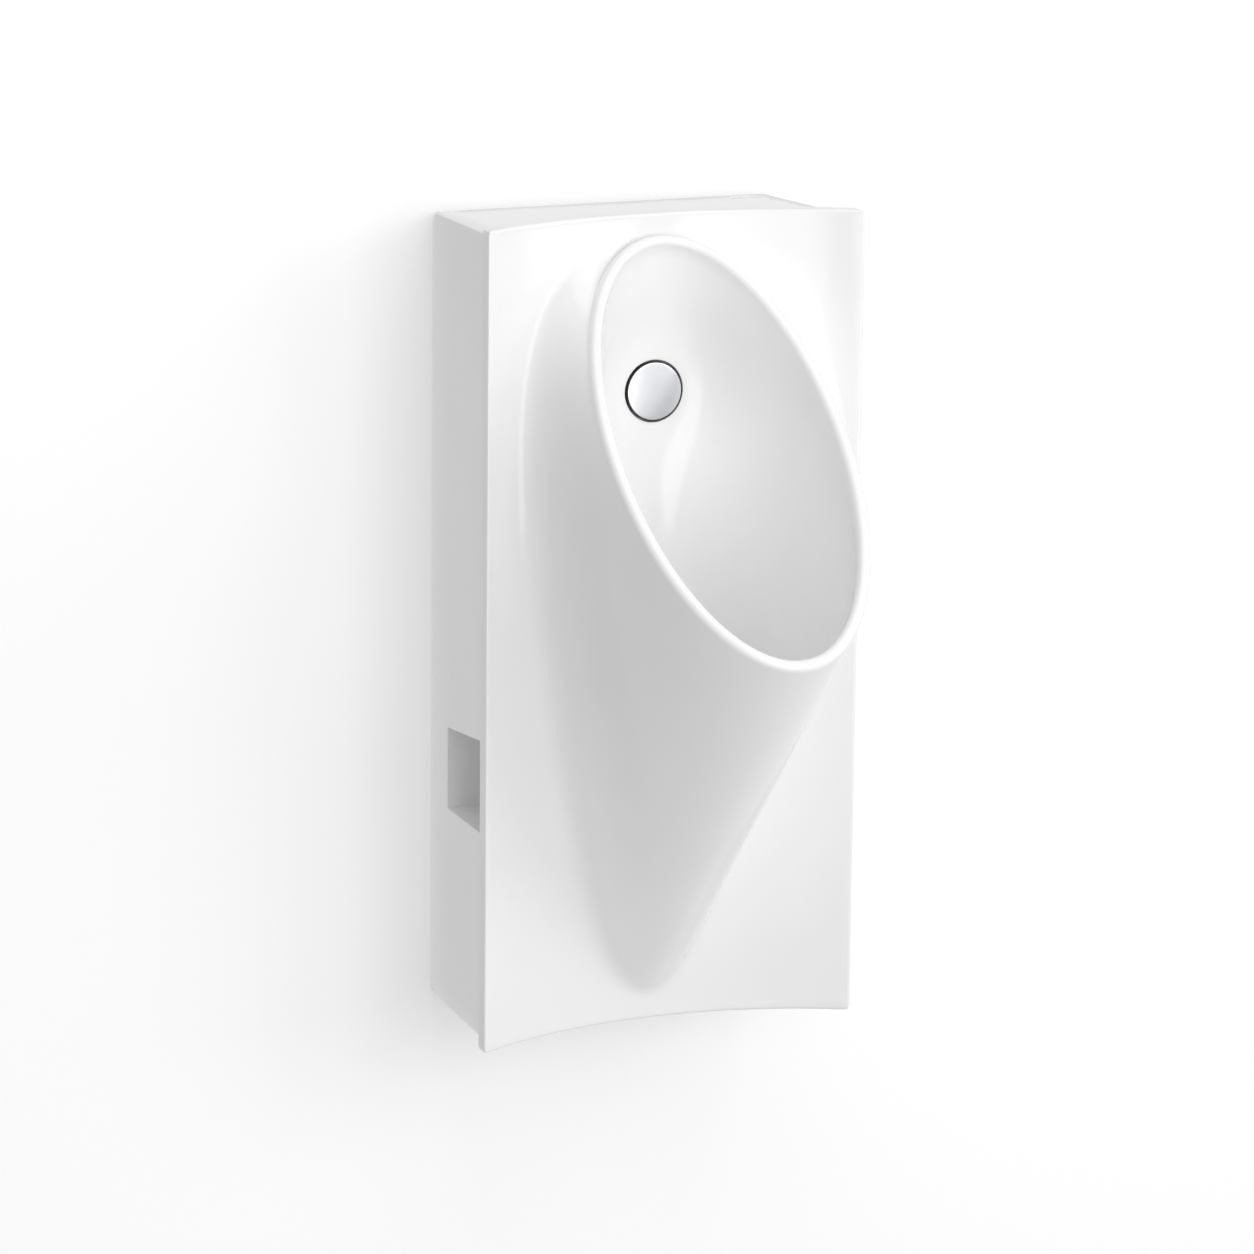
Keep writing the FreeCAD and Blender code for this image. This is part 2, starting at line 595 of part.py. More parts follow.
def supply_tail():
    """Brass tail from the union to the wall: flange, collar, neck, and the thread for the supply."""
    bore = SUPPLY_RADIUS - SUPPLY_WALL
    collar_start = TAIL_START_REACH - TAIL_FLANGE_THICKNESS
    neck_start = collar_start - SUPPLY_COLLAR_LENGTH
    thread_start = SUPPLY_END_GAP + SUPPLY_THREAD_LENGTH
    return turned([
        (bore, -TAIL_START_REACH),
        (INLET_STEM_RADIUS, -TAIL_START_REACH),
        (INLET_STEM_RADIUS, -collar_start),
        (SUPPLY_RADIUS, -collar_start),
        (SUPPLY_RADIUS, -neck_start),
        (SUPPLY_NECK_RADIUS, -neck_start),
        (SUPPLY_NECK_RADIUS, -thread_start),
        (SUPPLY_RADIUS, -thread_start),
        (SUPPLY_RADIUS, -SUPPLY_END_GAP),
        (bore, -SUPPLY_END_GAP),
    ], inlet_at(0), AXIS_Y)


def union_nut():
    """Captive nut that draws the tail's flange against the inlet."""
    lip = TAIL_FLANGE_THICKNESS
    front = TAIL_START_REACH - TAIL_FLANGE_THICKNESS - lip + UNION_LENGTH
    nut = hex_ring(UNION_ACROSS_FLATS, SUPPLY_RADIUS + THREAD_CLEARANCE, UNION_LENGTH,
                   inlet_at(front), AXIS_Y)
    room = cylinder(INLET_STEM_RADIUS + THREAD_CLEARANCE, UNION_LENGTH - lip, inlet_at(front), AXIS_Y)
    return nut.cut(room)


def spreader_cap():
    """Polished round cap. Water leaves the hub's windows and spreads out of the ring round the cap."""
    back = FLANGE_FRONT_REACH + CAP_LIFT
    hub_radius = INLET_BORE_RADIUS - SLIDING_CLEARANCE
    hub_end = FLANGE_FRONT_REACH - CAP_HUB_LENGTH
    front = back + CAP_THICKNESS
    disc = cylinder(CAP_RADIUS, CAP_THICKNESS, inlet_at(front), AXIS_Y)
    sphere_radius = (CAP_RADIUS ** 2 + CAP_CROWN ** 2) / (2 * CAP_CROWN)
    crown = Part.makeSphere(sphere_radius, inlet_at(front + CAP_CROWN - sphere_radius))
    crown = crown.common(cylinder(CAP_RADIUS, 2 * CAP_CROWN, inlet_at(front + 2 * CAP_CROWN), AXIS_Y))
    hub = cylinder(hub_radius, back - hub_end, inlet_at(back), AXIS_Y)
    cap = disc.fuse(crown).fuse(hub)
    cap = cap.cut(cylinder(hub_radius - CAP_HUB_WALL, back - hub_end + OVERRUN, inlet_at(back), AXIS_Y))
    for i in range(CAP_WINDOWS // 2):
        window = box(-CAP_WINDOW_WIDTH / 2, CAP_WINDOW_WIDTH / 2, 0, CAP_LIFT, -CAP_RADIUS, CAP_RADIUS)
        window.translate(inlet_at(back))
        window.rotate(inlet_at(back), AXIS_Y, 360 * i / CAP_WINDOWS)
        cap = cap.cut(window)
    groove_base = inlet_at(hub_end + 2 * RING_WIDTH)
    groove_floor = hub_radius - RING_GROOVE_DEPTH
    cap = cap.cut(tube(hub_radius + OVERRUN, groove_floor, RING_WIDTH, groove_base, AXIS_Y))
    rim = [e for e in cap.Edges if abs(e.BoundBox.YMin + front) < TINY and e.BoundBox.XLength > CAP_RADIUS]
    return cap.makeFillet(CAP_CROWN / 2, rim)


def cap_ring():
    hub_radius = INLET_BORE_RADIUS - SLIDING_CLEARANCE
    reach = FLANGE_FRONT_REACH - CAP_HUB_LENGTH + 2 * RING_WIDTH
    return tube(hub_radius, hub_radius - RING_GROOVE_DEPTH, RING_WIDTH, inlet_at(reach), AXIS_Y)


def drain_at(z):
    return V(0, -DRAIN_REACH, z)


def drain_flange():
    """Flanged threaded ring in the bowl's floor that clamps the china between the two drain seals."""
    return turned([
        (DRAIN_BORE_RADIUS, FLANGE_FOOT_Z - DRAIN_THREAD_LENGTH),
        (DRAIN_THREAD_RADIUS, FLANGE_FOOT_Z - DRAIN_THREAD_LENGTH),
        (DRAIN_THREAD_RADIUS, FLANGE_FOOT_Z),
        (DRAIN_FLANGE_RADIUS, FLANGE_FOOT_Z),
        (DRAIN_FLANGE_RADIUS, FLANGE_TOP_Z - STRAINER_THICKNESS / 2),
        (DRAIN_FLANGE_RADIUS - STRAINER_THICKNESS / 2, FLANGE_TOP_Z),
        (STRAINER_RADIUS + SOFT_CLEARANCE, FLANGE_TOP_Z),
        (STRAINER_RADIUS + SOFT_CLEARANCE, STRAINER_SEAT_Z),
        (DRAIN_BORE_RADIUS, STRAINER_SEAT_Z),
    ], drain_at(0), AXIS_Z)


def drain_seal(foot_z):
    return tube(DRAIN_FLANGE_RADIUS, DRAIN_THREAD_RADIUS + THREAD_CLEARANCE, DRAIN_SEAL_THICKNESS,
                drain_at(foot_z))


def strainer():
    """Loose steel grid that lies in the drain flange and lifts out."""
    skirt_radius = DRAIN_BORE_RADIUS - SOFT_CLEARANCE
    grid = cylinder(STRAINER_RADIUS, STRAINER_THICKNESS, drain_at(STRAINER_SEAT_Z))
    skirt = tube(skirt_radius, skirt_radius - STRAINER_SKIRT_WALL, STRAINER_SKIRT,
                 drain_at(STRAINER_SEAT_Z - STRAINER_SKIRT))
    grid = grid.fuse(skirt)
    hole_z = STRAINER_SEAT_Z - STRAINER_THICKNESS / 2
    holes = [cylinder(STRAINER_HOLE_RADIUS, 2 * STRAINER_THICKNESS, drain_at(hole_z))]
    for number, ring_radius in enumerate(STRAINER_RING_RADII, 1):
        count = STRAINER_RING_STEP * number
        for i in range(count):
            angle = 2 * math.pi * i / count
            offset = V(ring_radius * math.cos(angle), ring_radius * math.sin(angle), 0)
            holes.append(cylinder(STRAINER_HOLE_RADIUS, 2 * STRAINER_THICKNESS, drain_at(hole_z) + offset))
    return grid.cut(holes[0].multiFuse(holes[1:]))


def drain_chamber():
    """Plastic chamber under the china. The flange screws into it, and its spigot points at the wall."""
    foot_z = CHAMBER_TOP_Z - CHAMBER_DEPTH
    collar = cylinder(DRAIN_FLANGE_RADIUS, CHAMBER_RING_THICKNESS,
                      drain_at(CHAMBER_TOP_Z - CHAMBER_RING_THICKNESS))
    shell = cylinder(CHAMBER_RADIUS, CHAMBER_DEPTH, drain_at(foot_z))
    spigot_length = CHAMBER_RADIUS + SOCKET_LENGTH
    spigot = cylinder(SOCKET_RADIUS, spigot_length, drain_at(PIPE_AXIS_Z), AXIS_Y)
    body = shell.fuse(collar).fuse(spigot)
    neck_z = FLANGE_FOOT_Z - DRAIN_THREAD_LENGTH
    room_foot_z = foot_z + CHAMBER_WALL
    room = cylinder(CHAMBER_RADIUS - CHAMBER_WALL, neck_z - room_foot_z, drain_at(room_foot_z))
    throat = cylinder(DRAIN_THREAD_RADIUS + THREAD_CLEARANCE, CHAMBER_DEPTH, drain_at(neck_z - OVERRUN))
    bore = cylinder(PIPE_RADIUS + SOFT_CLEARANCE, spigot_length + OVERRUN, drain_at(PIPE_AXIS_Z), AXIS_Y)
    return body.cut(room).cut(throat).cut(bore)


def slip_nut(socket_end, direction):
    """Nut over the end of a socket, pressing its ring seal; direction points away from the socket."""
    lip = TRAP_WALL
    over = SLIP_NUT_LENGTH - RING_SEAL_THICKNESS - lip
    base = socket_end - direction * over
    nut = cylinder(SLIP_NUT_RADIUS, SLIP_NUT_LENGTH, base, direction)
    side_y = direction.cross(AXIS_X)
    for i in range(NUT_GROOVES):
        angle = 2 * math.pi * i / NUT_GROOVES
        outward = AXIS_X * math.cos(angle) + side_y * math.sin(angle)
        groove_base = base + outward * (SLIP_NUT_RADIUS + GROOVE_OFFSET)
        nut = nut.cut(cylinder(NUT_GROOVE_RADIUS, SLIP_NUT_LENGTH, groove_base, direction))
    nut = nut.cut(cylinder(SOCKET_RADIUS + THREAD_CLEARANCE, over + RING_SEAL_THICKNESS, base, direction))
    return nut.cut(cylinder(PIPE_RADIUS + SOFT_CLEARANCE, 2 * SLIP_NUT_LENGTH, base, direction))


def ring_seal(socket_end, direction):
    return tube(SOCKET_RADIUS, PIPE_RADIUS, RING_SEAL_THICKNESS, socket_end, direction)


def trap_at(z):
    return V(0, -TRAP_REACH, z)


def tail_bend():
    """Plastic pipe from the drain's spigot, round one bend and down into the trap."""
    start = SPIGOT_END - AXIS_Y * (SOCKET_LENGTH - PIPE_PUSH_GAP)
    bend_start = V(0, -TRAP_REACH - PIPE_BEND_RADIUS, PIPE_AXIS_Z)
    bend_end = V(0, -TRAP_REACH, PIPE_AXIS_Z - PIPE_BEND_RADIUS)
    end = trap_at(TRAP_TOP_Z + PIPE_PUSH_GAP)
    turn = math.radians(45)
    bend_middle = V(0, bend_start.y + PIPE_BEND_RADIUS * math.sin(turn),
                    bend_end.z + PIPE_BEND_RADIUS * math.cos(turn))
    path = Part.Wire([
        Part.makeLine(start, bend_start),
        Part.Arc(bend_start, bend_middle, bend_end).toShape(),
        Part.makeLine(bend_end, end),
    ])

    def swept(radius):
        circle = Part.Wire(Part.makeCircle(radius, start, AXIS_Y))
        return path.makePipeShell([circle], True, True)
    return swept(PIPE_RADIUS).cut(swept(PIPE_RADIUS - PIPE_WALL))


def trap_body():
    """Top of the bottle trap: inlet socket, dip tube, outlet socket and the spigot for the cup."""
    spigot_foot_z = TRAP_SHOULDER_Z - TRAP_SPIGOT_LENGTH
    drum = cylinder(TRAP_RADIUS, TRAP_TOP_Z - TRAP_SHOULDER_Z, trap_at(TRAP_SHOULDER_Z))
    spigot = cylinder(TRAP_SPIGOT_RADIUS, TRAP_SPIGOT_LENGTH + OVERRUN, trap_at(spigot_foot_z))
    socket = cylinder(SOCKET_RADIUS, SOCKET_LENGTH, trap_at(TRAP_TOP_Z))
    outlet = cylinder(OUTLET_SOCKET_RADIUS, TRAP_REACH, trap_at(OUTLET_Z), AXIS_Y)
    outlet = outlet.cut(cylinder(TRAP_RADIUS - TRAP_WALL, 2 * TRAP_RADIUS, trap_at(OUTLET_Z - TRAP_RADIUS)))
    body = drum.fuse(spigot).fuse(socket).fuse(outlet)
    room_height = TRAP_TOP_Z - TRAP_WALL - spigot_foot_z
    room = cylinder(TRAP_SPIGOT_RADIUS - TRAP_WALL, room_height + OVERRUN, trap_at(spigot_foot_z - OVERRUN))
    body = body.cut(room)
    dip = cylinder(TRAP_DIP_RADIUS, TRAP_TOP_Z - TRAP_DIP_END_Z, trap_at(TRAP_DIP_END_Z))
    body = body.fuse(dip)
    body = body.cut(cylinder(TRAP_DIP_RADIUS - TRAP_WALL, TRAP_TOP_Z, trap_at(TRAP_DIP_END_Z - OVERRUN)))
    body = body.cut(cylinder(PIPE_RADIUS + SOFT_CLEARANCE, SOCKET_LENGTH, trap_at(TRAP_TOP_Z + OVERRUN)))
    outlet_start = V(0, -TRAP_REACH + TRAP_DIP_RADIUS + OVERRUN, OUTLET_Z)
    way_out = cylinder(OUTLET_BORE_RADIUS - TRAP_WALL, TRAP_REACH, outlet_start, AXIS_Y)
    dip_room = cylinder(TRAP_DIP_RADIUS + OVERRUN / 2, 2 * TRAP_RADIUS, trap_at(OUTLET_Z - TRAP_RADIUS))
    body = body.cut(way_out.cut(dip_room))
    socket_start = V(0, -TRAP_REACH + TRAP_RADIUS, OUTLET_Z)
    body = body.cut(cylinder(OUTLET_BORE_RADIUS, TRAP_REACH, socket_start, AXIS_Y))
    return body.cut(lip_seal_ring())


def lip_seal_ring():
    start = V(0, -2 * LIP_SEAL_WIDTH, OUTLET_Z)
    return tube(OUTLET_BORE_RADIUS + LIP_SEAL_DEPTH, OUTLET_BORE_RADIUS, LIP_SEAL_WIDTH, start, AXIS_Y)


def trap_cup():
    """Cup that holds the water seal. It comes off downwards, through the hole in the china's floor."""
    top_z = TRAP_SHOULDER_Z - CUP_SEAL_THICKNESS
    inner = TRAP_SPIGOT_RADIUS + SLIDING_CLEARANCE
    cup = cylinder(TRAP_RADIUS, top_z - CUP_FOOT_Z, trap_at(CUP_FOOT_Z))
    cup = cup.makeFillet(2 * TRAP_WALL, [e for e in cup.Edges if e.BoundBox.ZMax < CUP_FOOT_Z + TINY])
    grip = cylinder(CUP_GRIP_RADIUS, CUP_GRIP_HEIGHT, trap_at(top_z - CUP_GRIP_HEIGHT))
    for i in range(CUP_GROOVES):
        angle = 2 * math.pi * i / CUP_GROOVES
        offset = V(math.cos(angle), math.sin(angle), 0) * (CUP_GRIP_RADIUS + GROOVE_OFFSET)
        groove_base = trap_at(top_z - CUP_GRIP_HEIGHT) + offset
        grip = grip.cut(cylinder(CUP_GROOVE_RADIUS, CUP_GRIP_HEIGHT, groove_base))
    return cup.fuse(grip).cut(cylinder(inner, top_z, trap_at(CUP_FOOT_Z + TRAP_WALL)))


def cup_seal():
    return tube(TRAP_RADIUS - SOFT_CLEARANCE, TRAP_SPIGOT_RADIUS + SLIDING_CLEARANCE, CUP_SEAL_THICKNESS,
                trap_at(TRAP_SHOULDER_Z - CUP_SEAL_THICKNESS))


def write(name, shape):
    """One file per piece, with its number of solids and its volume for a look over."""
    shape.translate(V(0, 0, -OUTLET_Z))
    print(name, "solids", len(shape.Solids), "valid", shape.isValid(), "cm3", round(shape.Volume / 1000, 2))
    shape.exportStep("parts/%s.step" % name)


def main():
    os.makedirs("parts", exist_ok=True)
    write("china_body", china_body())
    write("wall_hanger", wall_hanger())
    write("lower_fixing_bushes", lower_fixing_bushes())
    write("lower_fixing_washers", lower_fixing_washers())
    write("inlet_body", inlet_body())
    write("inlet_front_gasket", inlet_seal(FLANGE_BACK_REACH, INLET_FLANGE_RADIUS))
    write("inlet_back_gasket", inlet_seal(PAD_BACK_REACH, INLET_SEAL_RADIUS))
    write("inlet_thrust_washer", inlet_thrust_washer())
    write("inlet_locknut", inlet_locknut())
    write("union_washer", union_washer())
    write("union_nut", union_nut())
    write("supply_tail", supply_tail())
    write("spreader_cap", spreader_cap())
    write("cap_o_ring", cap_ring())
    write("drain_flange", drain_flange())
    write("drain_upper_seal", drain_seal(BOWL_FLOOR_Z))
    write("drain_lower_seal", drain_seal(CHAMBER_TOP_Z))
    write("drain_chamber", drain_chamber())
    write("strainer", strainer())
    write("spigot_nut", slip_nut(SPIGOT_END, AXIS_Y))
    write("spigot_ring_seal", ring_seal(SPIGOT_END, AXIS_Y))
    write("tail_bend", tail_bend())
    write("trap_inlet_nut", slip_nut(trap_at(TRAP_SOCKET_TOP_Z), AXIS_Z))
    write("trap_inlet_seal", ring_seal(trap_at(TRAP_SOCKET_TOP_Z), AXIS_Z))
    write("trap_body", trap_body())
    write("trap_cup", trap_cup())
    write("cup_seal", cup_seal())
    write("outlet_lip_seal", lip_seal_ring())


if __name__ == "__main__":
    main()
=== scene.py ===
"""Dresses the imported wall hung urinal: a smooth china body, a finish for every fitting, and a stage."""
import json
import math

import bmesh
import bpy
from mathutils import Euler, Matrix, Vector


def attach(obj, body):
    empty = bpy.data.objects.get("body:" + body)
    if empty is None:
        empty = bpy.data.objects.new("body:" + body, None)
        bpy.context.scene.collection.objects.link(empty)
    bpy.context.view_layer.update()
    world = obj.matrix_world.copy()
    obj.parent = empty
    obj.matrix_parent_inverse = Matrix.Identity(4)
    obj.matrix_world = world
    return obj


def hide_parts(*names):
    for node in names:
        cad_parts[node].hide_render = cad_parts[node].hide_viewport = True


bl_info = {
    "name": "Wall Hung Urinal",
    "version": (1, 0, 0),
    "blender": (4, 5, 0),
    "location": "View3D > Sidebar > Urinal",
    "description": "Makes the china body, finishes the fittings and sets the stage",
    "category": "Add Mesh",
}

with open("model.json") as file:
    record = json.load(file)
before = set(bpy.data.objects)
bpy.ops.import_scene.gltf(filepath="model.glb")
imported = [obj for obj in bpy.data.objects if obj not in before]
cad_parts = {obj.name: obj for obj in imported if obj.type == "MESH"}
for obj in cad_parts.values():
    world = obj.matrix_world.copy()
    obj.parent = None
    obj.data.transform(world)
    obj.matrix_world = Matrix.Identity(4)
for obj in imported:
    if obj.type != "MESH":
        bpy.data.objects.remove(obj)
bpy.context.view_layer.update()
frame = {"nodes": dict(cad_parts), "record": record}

MM = 0.001
ORIGIN_Z = 98.0             # the frame's origin lies this far above the lower edge of the front panel

# China slab, in millimetres from the lower edge of the front panel, the wall and the plane of symmetry
SLAB_WIDTH = 324.0
SLAB_HEIGHT = 660.0
SLAB_DEPTH = 154.0          # wall to the front corners
FRONT_HOLLOW = 43.0         # the middle of the concave front lies this far behind its corners
CHINA_WALL = 11.0
PANEL_LIP = 5.0             # the front panel stands this proud of the box behind it
SIDE_TAPER = 11.0           # each side draws in by this towards the wall
TOP_TAPER = 2.0
PANEL_EDGE_RADIUS = 2.5
PANEL_CORNER_RADIUS = 4.0
REAR_EDGE_RADIUS = 5.0      # where the box's sides turn in to the wall

# Rim of the bowl: an ellipse in a plane that leans back from the lip to the slab
RIM_LEAN = 42.9             # degrees between the rim's plane and the wall
RIM_CENTRE_Z = 498.5
RIM_CENTRE_REACH = 252.0    # from the wall
RIM_HALF_WIDTH = 103.2
RIM_HALF_LENGTH = 200.8
RIM_EDGE_RADIUS = 5.0
RIM_TOP_SOFTENING = 5.0     # the rim's outer edge is this much rounder at its top

# Where the funnel's straight side would meet the slab's front, and the outline of the soft skirt round it
ROOT_SWELL = 0.85           # how far the outline's points crowd towards its top
# Each outline: top, widest height, foot, half width, and how square it is above and below the widest height
ROOT_OUTLINE = (651.0, 490.0, 22.0, 120.0, 2.8, 1.25)
SKIRT_OUTLINE = (657.5, 400.0, 14.0, 157.0, 2.4, 1.15)
SHOULDER_SHARE = 0.5        # the skirt's blend ends at most this far up the funnel's side

# Inside of the bowl
BOWL_FLOOR_Z = 225.0
DRAIN_REACH = 165.0         # the drain's axis, from the wall
BOWL_FLOOR_RADIUS = 40.0
# Ovals down the bowl: reach and height of the rear wall, height of the front wall, half width
BOWL_LEVELS = (
    (112.0, 575.0, 344.0, 90.0),
    (107.5, 500.0, 322.0, 81.0),
    (107.5, 425.0, 298.0, 70.0),
    (110.0, 350.0, 272.0, 58.0),
    (116.0, 285.0, 250.0, 49.0),
)
BOWL_BACK_REACH = 107.5     # rear wall of the bowl, from the wall, at the inlet's height
BOWL_SQUARENESS = 2.15      # of the rear half of each oval; 2 is an ellipse
SEAT_FLAT_RADIUS = 26.0     # round the cap the bowl's rear wall is flat out to here
SEAT_FLAT_FADE = 60.0       # and the bowl's own curve is back this much further out

# Round cap over the flush inlet: a disc, and a hub with a groove for its ring
INLET_DROP = 143.0          # from the slab's top to the inlet's axis
INLET_Z = SLAB_HEIGHT - INLET_DROP
CAP_RADIUS = 24.0
CAP_GAP = 1.3               # ring through which the water spreads
CAP_RECESS = 8.0            # depth of the pocket that the cap sits in
CAP_BACK_REACH = 106.2
CAP_THICKNESS = 3.0
CAP_CROWN = 0.8
CAP_EDGE_RADIUS = 0.6
CAP_SHADOW_RING_WIDTH = 0.8         # dark ring round the disc's edge, in the black rubber finish: painted shade that stands in for the shadow in the gap round the cap
HUB_RADIUS = 10.94
HUB_END_REACH = 92.0
HUB_WALL = 2.5
HUB_GROOVE_DEPTH = 1.5
HUB_GROOVE_WIDTH = 2.5
WINDOWS = 6                 # openings round the hub that the water leaves by
WINDOW_WIDTH = 5.0
WINDOW_DEPTH = 2.2

# Round seats and holes in the china
INLET_PAD_RADIUS = 42.0
INLET_PAD_BACK = 90.5
INLET_HOLE_RADIUS = 17.2
DRAIN_HOLE_RADIUS = 28.0
ACCESS_HOLE_RADIUS = 40.0
TRAP_REACH = 58.0

# Side recesses with the lower fixings
RECESS_REAR_REACH = 44.0
RECESS_FLOOR_Z = 174.5
RECESS_HEIGHT = 67.0
RECESS_TOP_RISE = 9.5       # the recess is this much higher at its front than at its rear
RECESS_DEPTH = 75.0
FIXING_INSET = 62.0         # from the slab's side edge
FIXING_HALF_SPACING = SLAB_WIDTH / 2 - FIXING_INSET
FIXING_Z = 208.0
FIXING_BOSS_RADIUS = 17.0
FIXING_HOLE_RADIUS = 7.1

# Narrow slot in the top face: from and to x, from and to reach
TOP_SLOT = (107.0, 134.0, 19.5, 23.0)
TOP_SLOT_DEPTH = 4.0

# Rib in the hollow back that rests on the hooks of the hanger
LEDGE_DROP = 60.0           # from the slab's top to the rib's underside
LEDGE_Z = SLAB_HEIGHT - LEDGE_DROP
LEDGE_HALF_WIDTH = 110.0
LEDGE_REAR_REACH = 6.0
LEDGE_THICKNESS = 18.0

# Levels of the hollow under the bowl: height and half width
HOLLOW_LEVELS = ((70.0, 16.0), (120.0, 33.0), (175.0, 47.0), (214.0, 54.0))
HOLLOW_NOSE_GAP = 2.0       # more china at the funnel's front than the bare wall
HOLLOW_CORNER_SHARE = 0.3   # share of the half width that the rear of each level runs straight across

# How far cutting shapes run past what they cut
CAVITY_OVERRUN = 2.0
BOSS_OVERRUN = 3.0
HOLE_OVERRUN = 1.0
RECESS_OVERRUN = 5.0

# How far the cutters of the round holes run
POCKET_CUT = 30.0           # in front of the bowl's rear wall
INLET_CUT = 40.0            # behind the bowl's rear wall
DRAIN_CUT = 30.0            # upwards through the bowl's floor
DRAIN_CUT_START = 22.0      # under the bowl's floor
ACCESS_CUT = 40.0           # upwards through the box's floor
ACCESS_CUT_START = 12.0     # under the panel's lower edge

# How finely the shapes are made
AROUND = 128                # points round every ring of the china
PANEL_TOP_PLACES = 9        # ring places along each half of the panel's top, and of its foot
REAR_EDGE_STEPS = 5
PANEL_EDGE_STEPS = 4
FRONT_STEPS = 10
SKIRT_STEPS = 14
FUNNEL_STEPS = 10
RIM_OUTER_STEPS = 6
RIM_INNER_STEPS = 5
BOWL_STEPS = 36
HIDDEN_BOWL_STEPS = 18
CAVITY_STEPS = 8
HOLLOW_AROUND = 48
RECESS_PARTS = 4
ROD_AROUND = 64
CAP_AROUND = 96
CAP_FACE_STEPS = 12
CAP_EDGE_STEPS = 5
CAP_SHADOW_RING_STEPS = 8
CHINA_SHARP_ANGLE = 32.0    # degrees; edges that turn by more stay crisp
CAP_SHARP_ANGLE = 40.0
WELD = 0.02                 # millimetres; the china's corners nearer than this become one
SPUN_WELD = 0.001           # the same for the cap and its lip
LAST_SHARE = 0.99999        # keeps the end of a row of points inside its last stretch

# Stage, in metres
WALL_BEHIND = 0.004         # the backdrop stands this far behind the plane of the wall
FLOOR_Z = -1.6
WALL_GLOW = 0.19            # what the camera sees the wall add of itself, so that it comes out white
CAMERA_PLACE = (-1.7996, -4.0407, 1.2133)
CAMERA_TURN = (77.1525, -0.6283, -24.1889)      # degrees
SENSOR_WIDTH = 36.0         # millimetres
VIEW_DEPTH = 50.0
SOFT_LIGHT_SIZE = 2.2
LIGHT_AIM = (0.0, -0.15, 0.25)
SOFT_LIGHTS = (             # name, place, watts
    ("key", (1.1, -3.0, 1.75), 12.0),
    ("front", (-0.1, -3.4, 0.5), 26.0),
    ("right", (2.4, -2.2, 1.0), 20.0),
    ("overhead", (0.0, -1.2, 3.0), 18.5),
)


# ---------------------------------------------------------------- shapes of the china


def front_reach(x, behind=0.0):
    """Distance from the wall to the concave front, or to a face behind it."""
    half = SLAB_WIDTH / 2
    radius = (half ** 2 + FRONT_HOLLOW ** 2) / (2 * FRONT_HOLLOW)
    return SLAB_DEPTH - FRONT_HOLLOW + radius - math.sqrt((radius + behind) ** 2 - x ** 2)


def outline_half_width(z, outline):
    """Half width of an outline on the slab's front at a height."""
    top, middle, foot, widest, upper_power, lower_power = outline
    share, power = (z - middle) / (top - middle), upper_power
    if z < middle:
        share, power = (middle - z) / (middle - foot), lower_power
    return widest * math.sqrt(1 - min(1.0, share) ** power)


def root_height(angle):
    """Height of the root's outline at an angle round it, from 0 at the top."""
    top, middle, foot = ROOT_OUTLINE[:3]
    centre = (top + foot) / 2
    return centre + (top - foot) / 2 * math.cos(angle) + (middle - centre) * ROOT_SWELL * math.sin(angle) ** 2


def outline_point(angle, outline):
    """A point of the root's or the skirt's outline on the slab's front."""
    top, foot = outline[0], outline[2]
    root_top, root_foot = ROOT_OUTLINE[0], ROOT_OUTLINE[2]
    z = foot + (root_height(angle) - root_foot) * (top - foot) / (root_top - root_foot)
    x = math.copysign(outline_half_width(z, outline), math.sin(angle))
    return Vector((x, -front_reach(x), z))


def rim_point(angle, inset=0.0, rise=0.0):
    """A point of the rim, drawn in by an inset and raised square to the rim's plane."""
    lean = math.radians(RIM_LEAN)
    across = (RIM_HALF_WIDTH - inset) * math.sin(angle)
    along = (RIM_HALF_LENGTH - inset) * math.cos(angle)
    return Vector((across,
                   -RIM_CENTRE_REACH + along * math.sin(lean) - rise * math.cos(lean),
                   RIM_CENTRE_Z + along * math.cos(lean) + rise * math.sin(lean)))


def outer_edge_radius(angle):
    """Rounding of the rim's outer edge, softer towards its top."""
    return RIM_EDGE_RADIUS + RIM_TOP_SOFTENING * max(0.0, math.cos(angle)) ** 2


def front_wall_inside(z):
    """Reach of the bowl's front wall at a height below the lip."""
    foot, lip = outline_point(math.pi, ROOT_OUTLINE), rim_point(math.pi)
    share = (z - foot.z) / (lip.z - foot.z)
    lean = math.atan2(foot.y - lip.y, lip.z - foot.z)
    return -(foot.y + (lip.y - foot.y) * share) - CHINA_WALL / math.cos(lean)


def bowl_level(level, grow, angle):
    """A point of one oval across the bowl."""
    back_reach, back_z, front_z, half_width = level
    back = Vector((0, -back_reach, back_z))
    front = Vector((0, -front_wall_inside(front_z), front_z))
    centre, along = (back + front) / 2, (back - front) / 2
    along *= (along.length + grow) / along.length
    across, forward = math.sin(angle), math.cos(angle)
    if forward > 0:
        size = (abs(across) ** BOWL_SQUARENESS + forward ** BOWL_SQUARENESS) ** (1 / BOWL_SQUARENESS)
        across, forward = across / size, forward / size
    return centre + Vector(((half_width + grow) * across, 0, 0)) + along * forward


def flattened(point, grow):
    """A point of the bowl, drawn back to the flat round the cap where it is near it."""
    away = (math.hypot(point.x, point.z - INLET_Z) - SEAT_FLAT_RADIUS) / SEAT_FLAT_FADE
    hold = 1 - min(max(away, 0.0), 1.0)
    if -point.y < RIM_CENTRE_REACH - grow and hold > 0:
        hold = hold * hold * (3 - 2 * hold)
        point.y += (-BOWL_BACK_REACH + grow - point.y) * hold
    return point


def floor_point(angle, radius, z):
    """A point of a level circle round the drain's axis."""
    return Vector((radius * math.sin(angle), -DRAIN_REACH + radius * math.cos(angle), z))


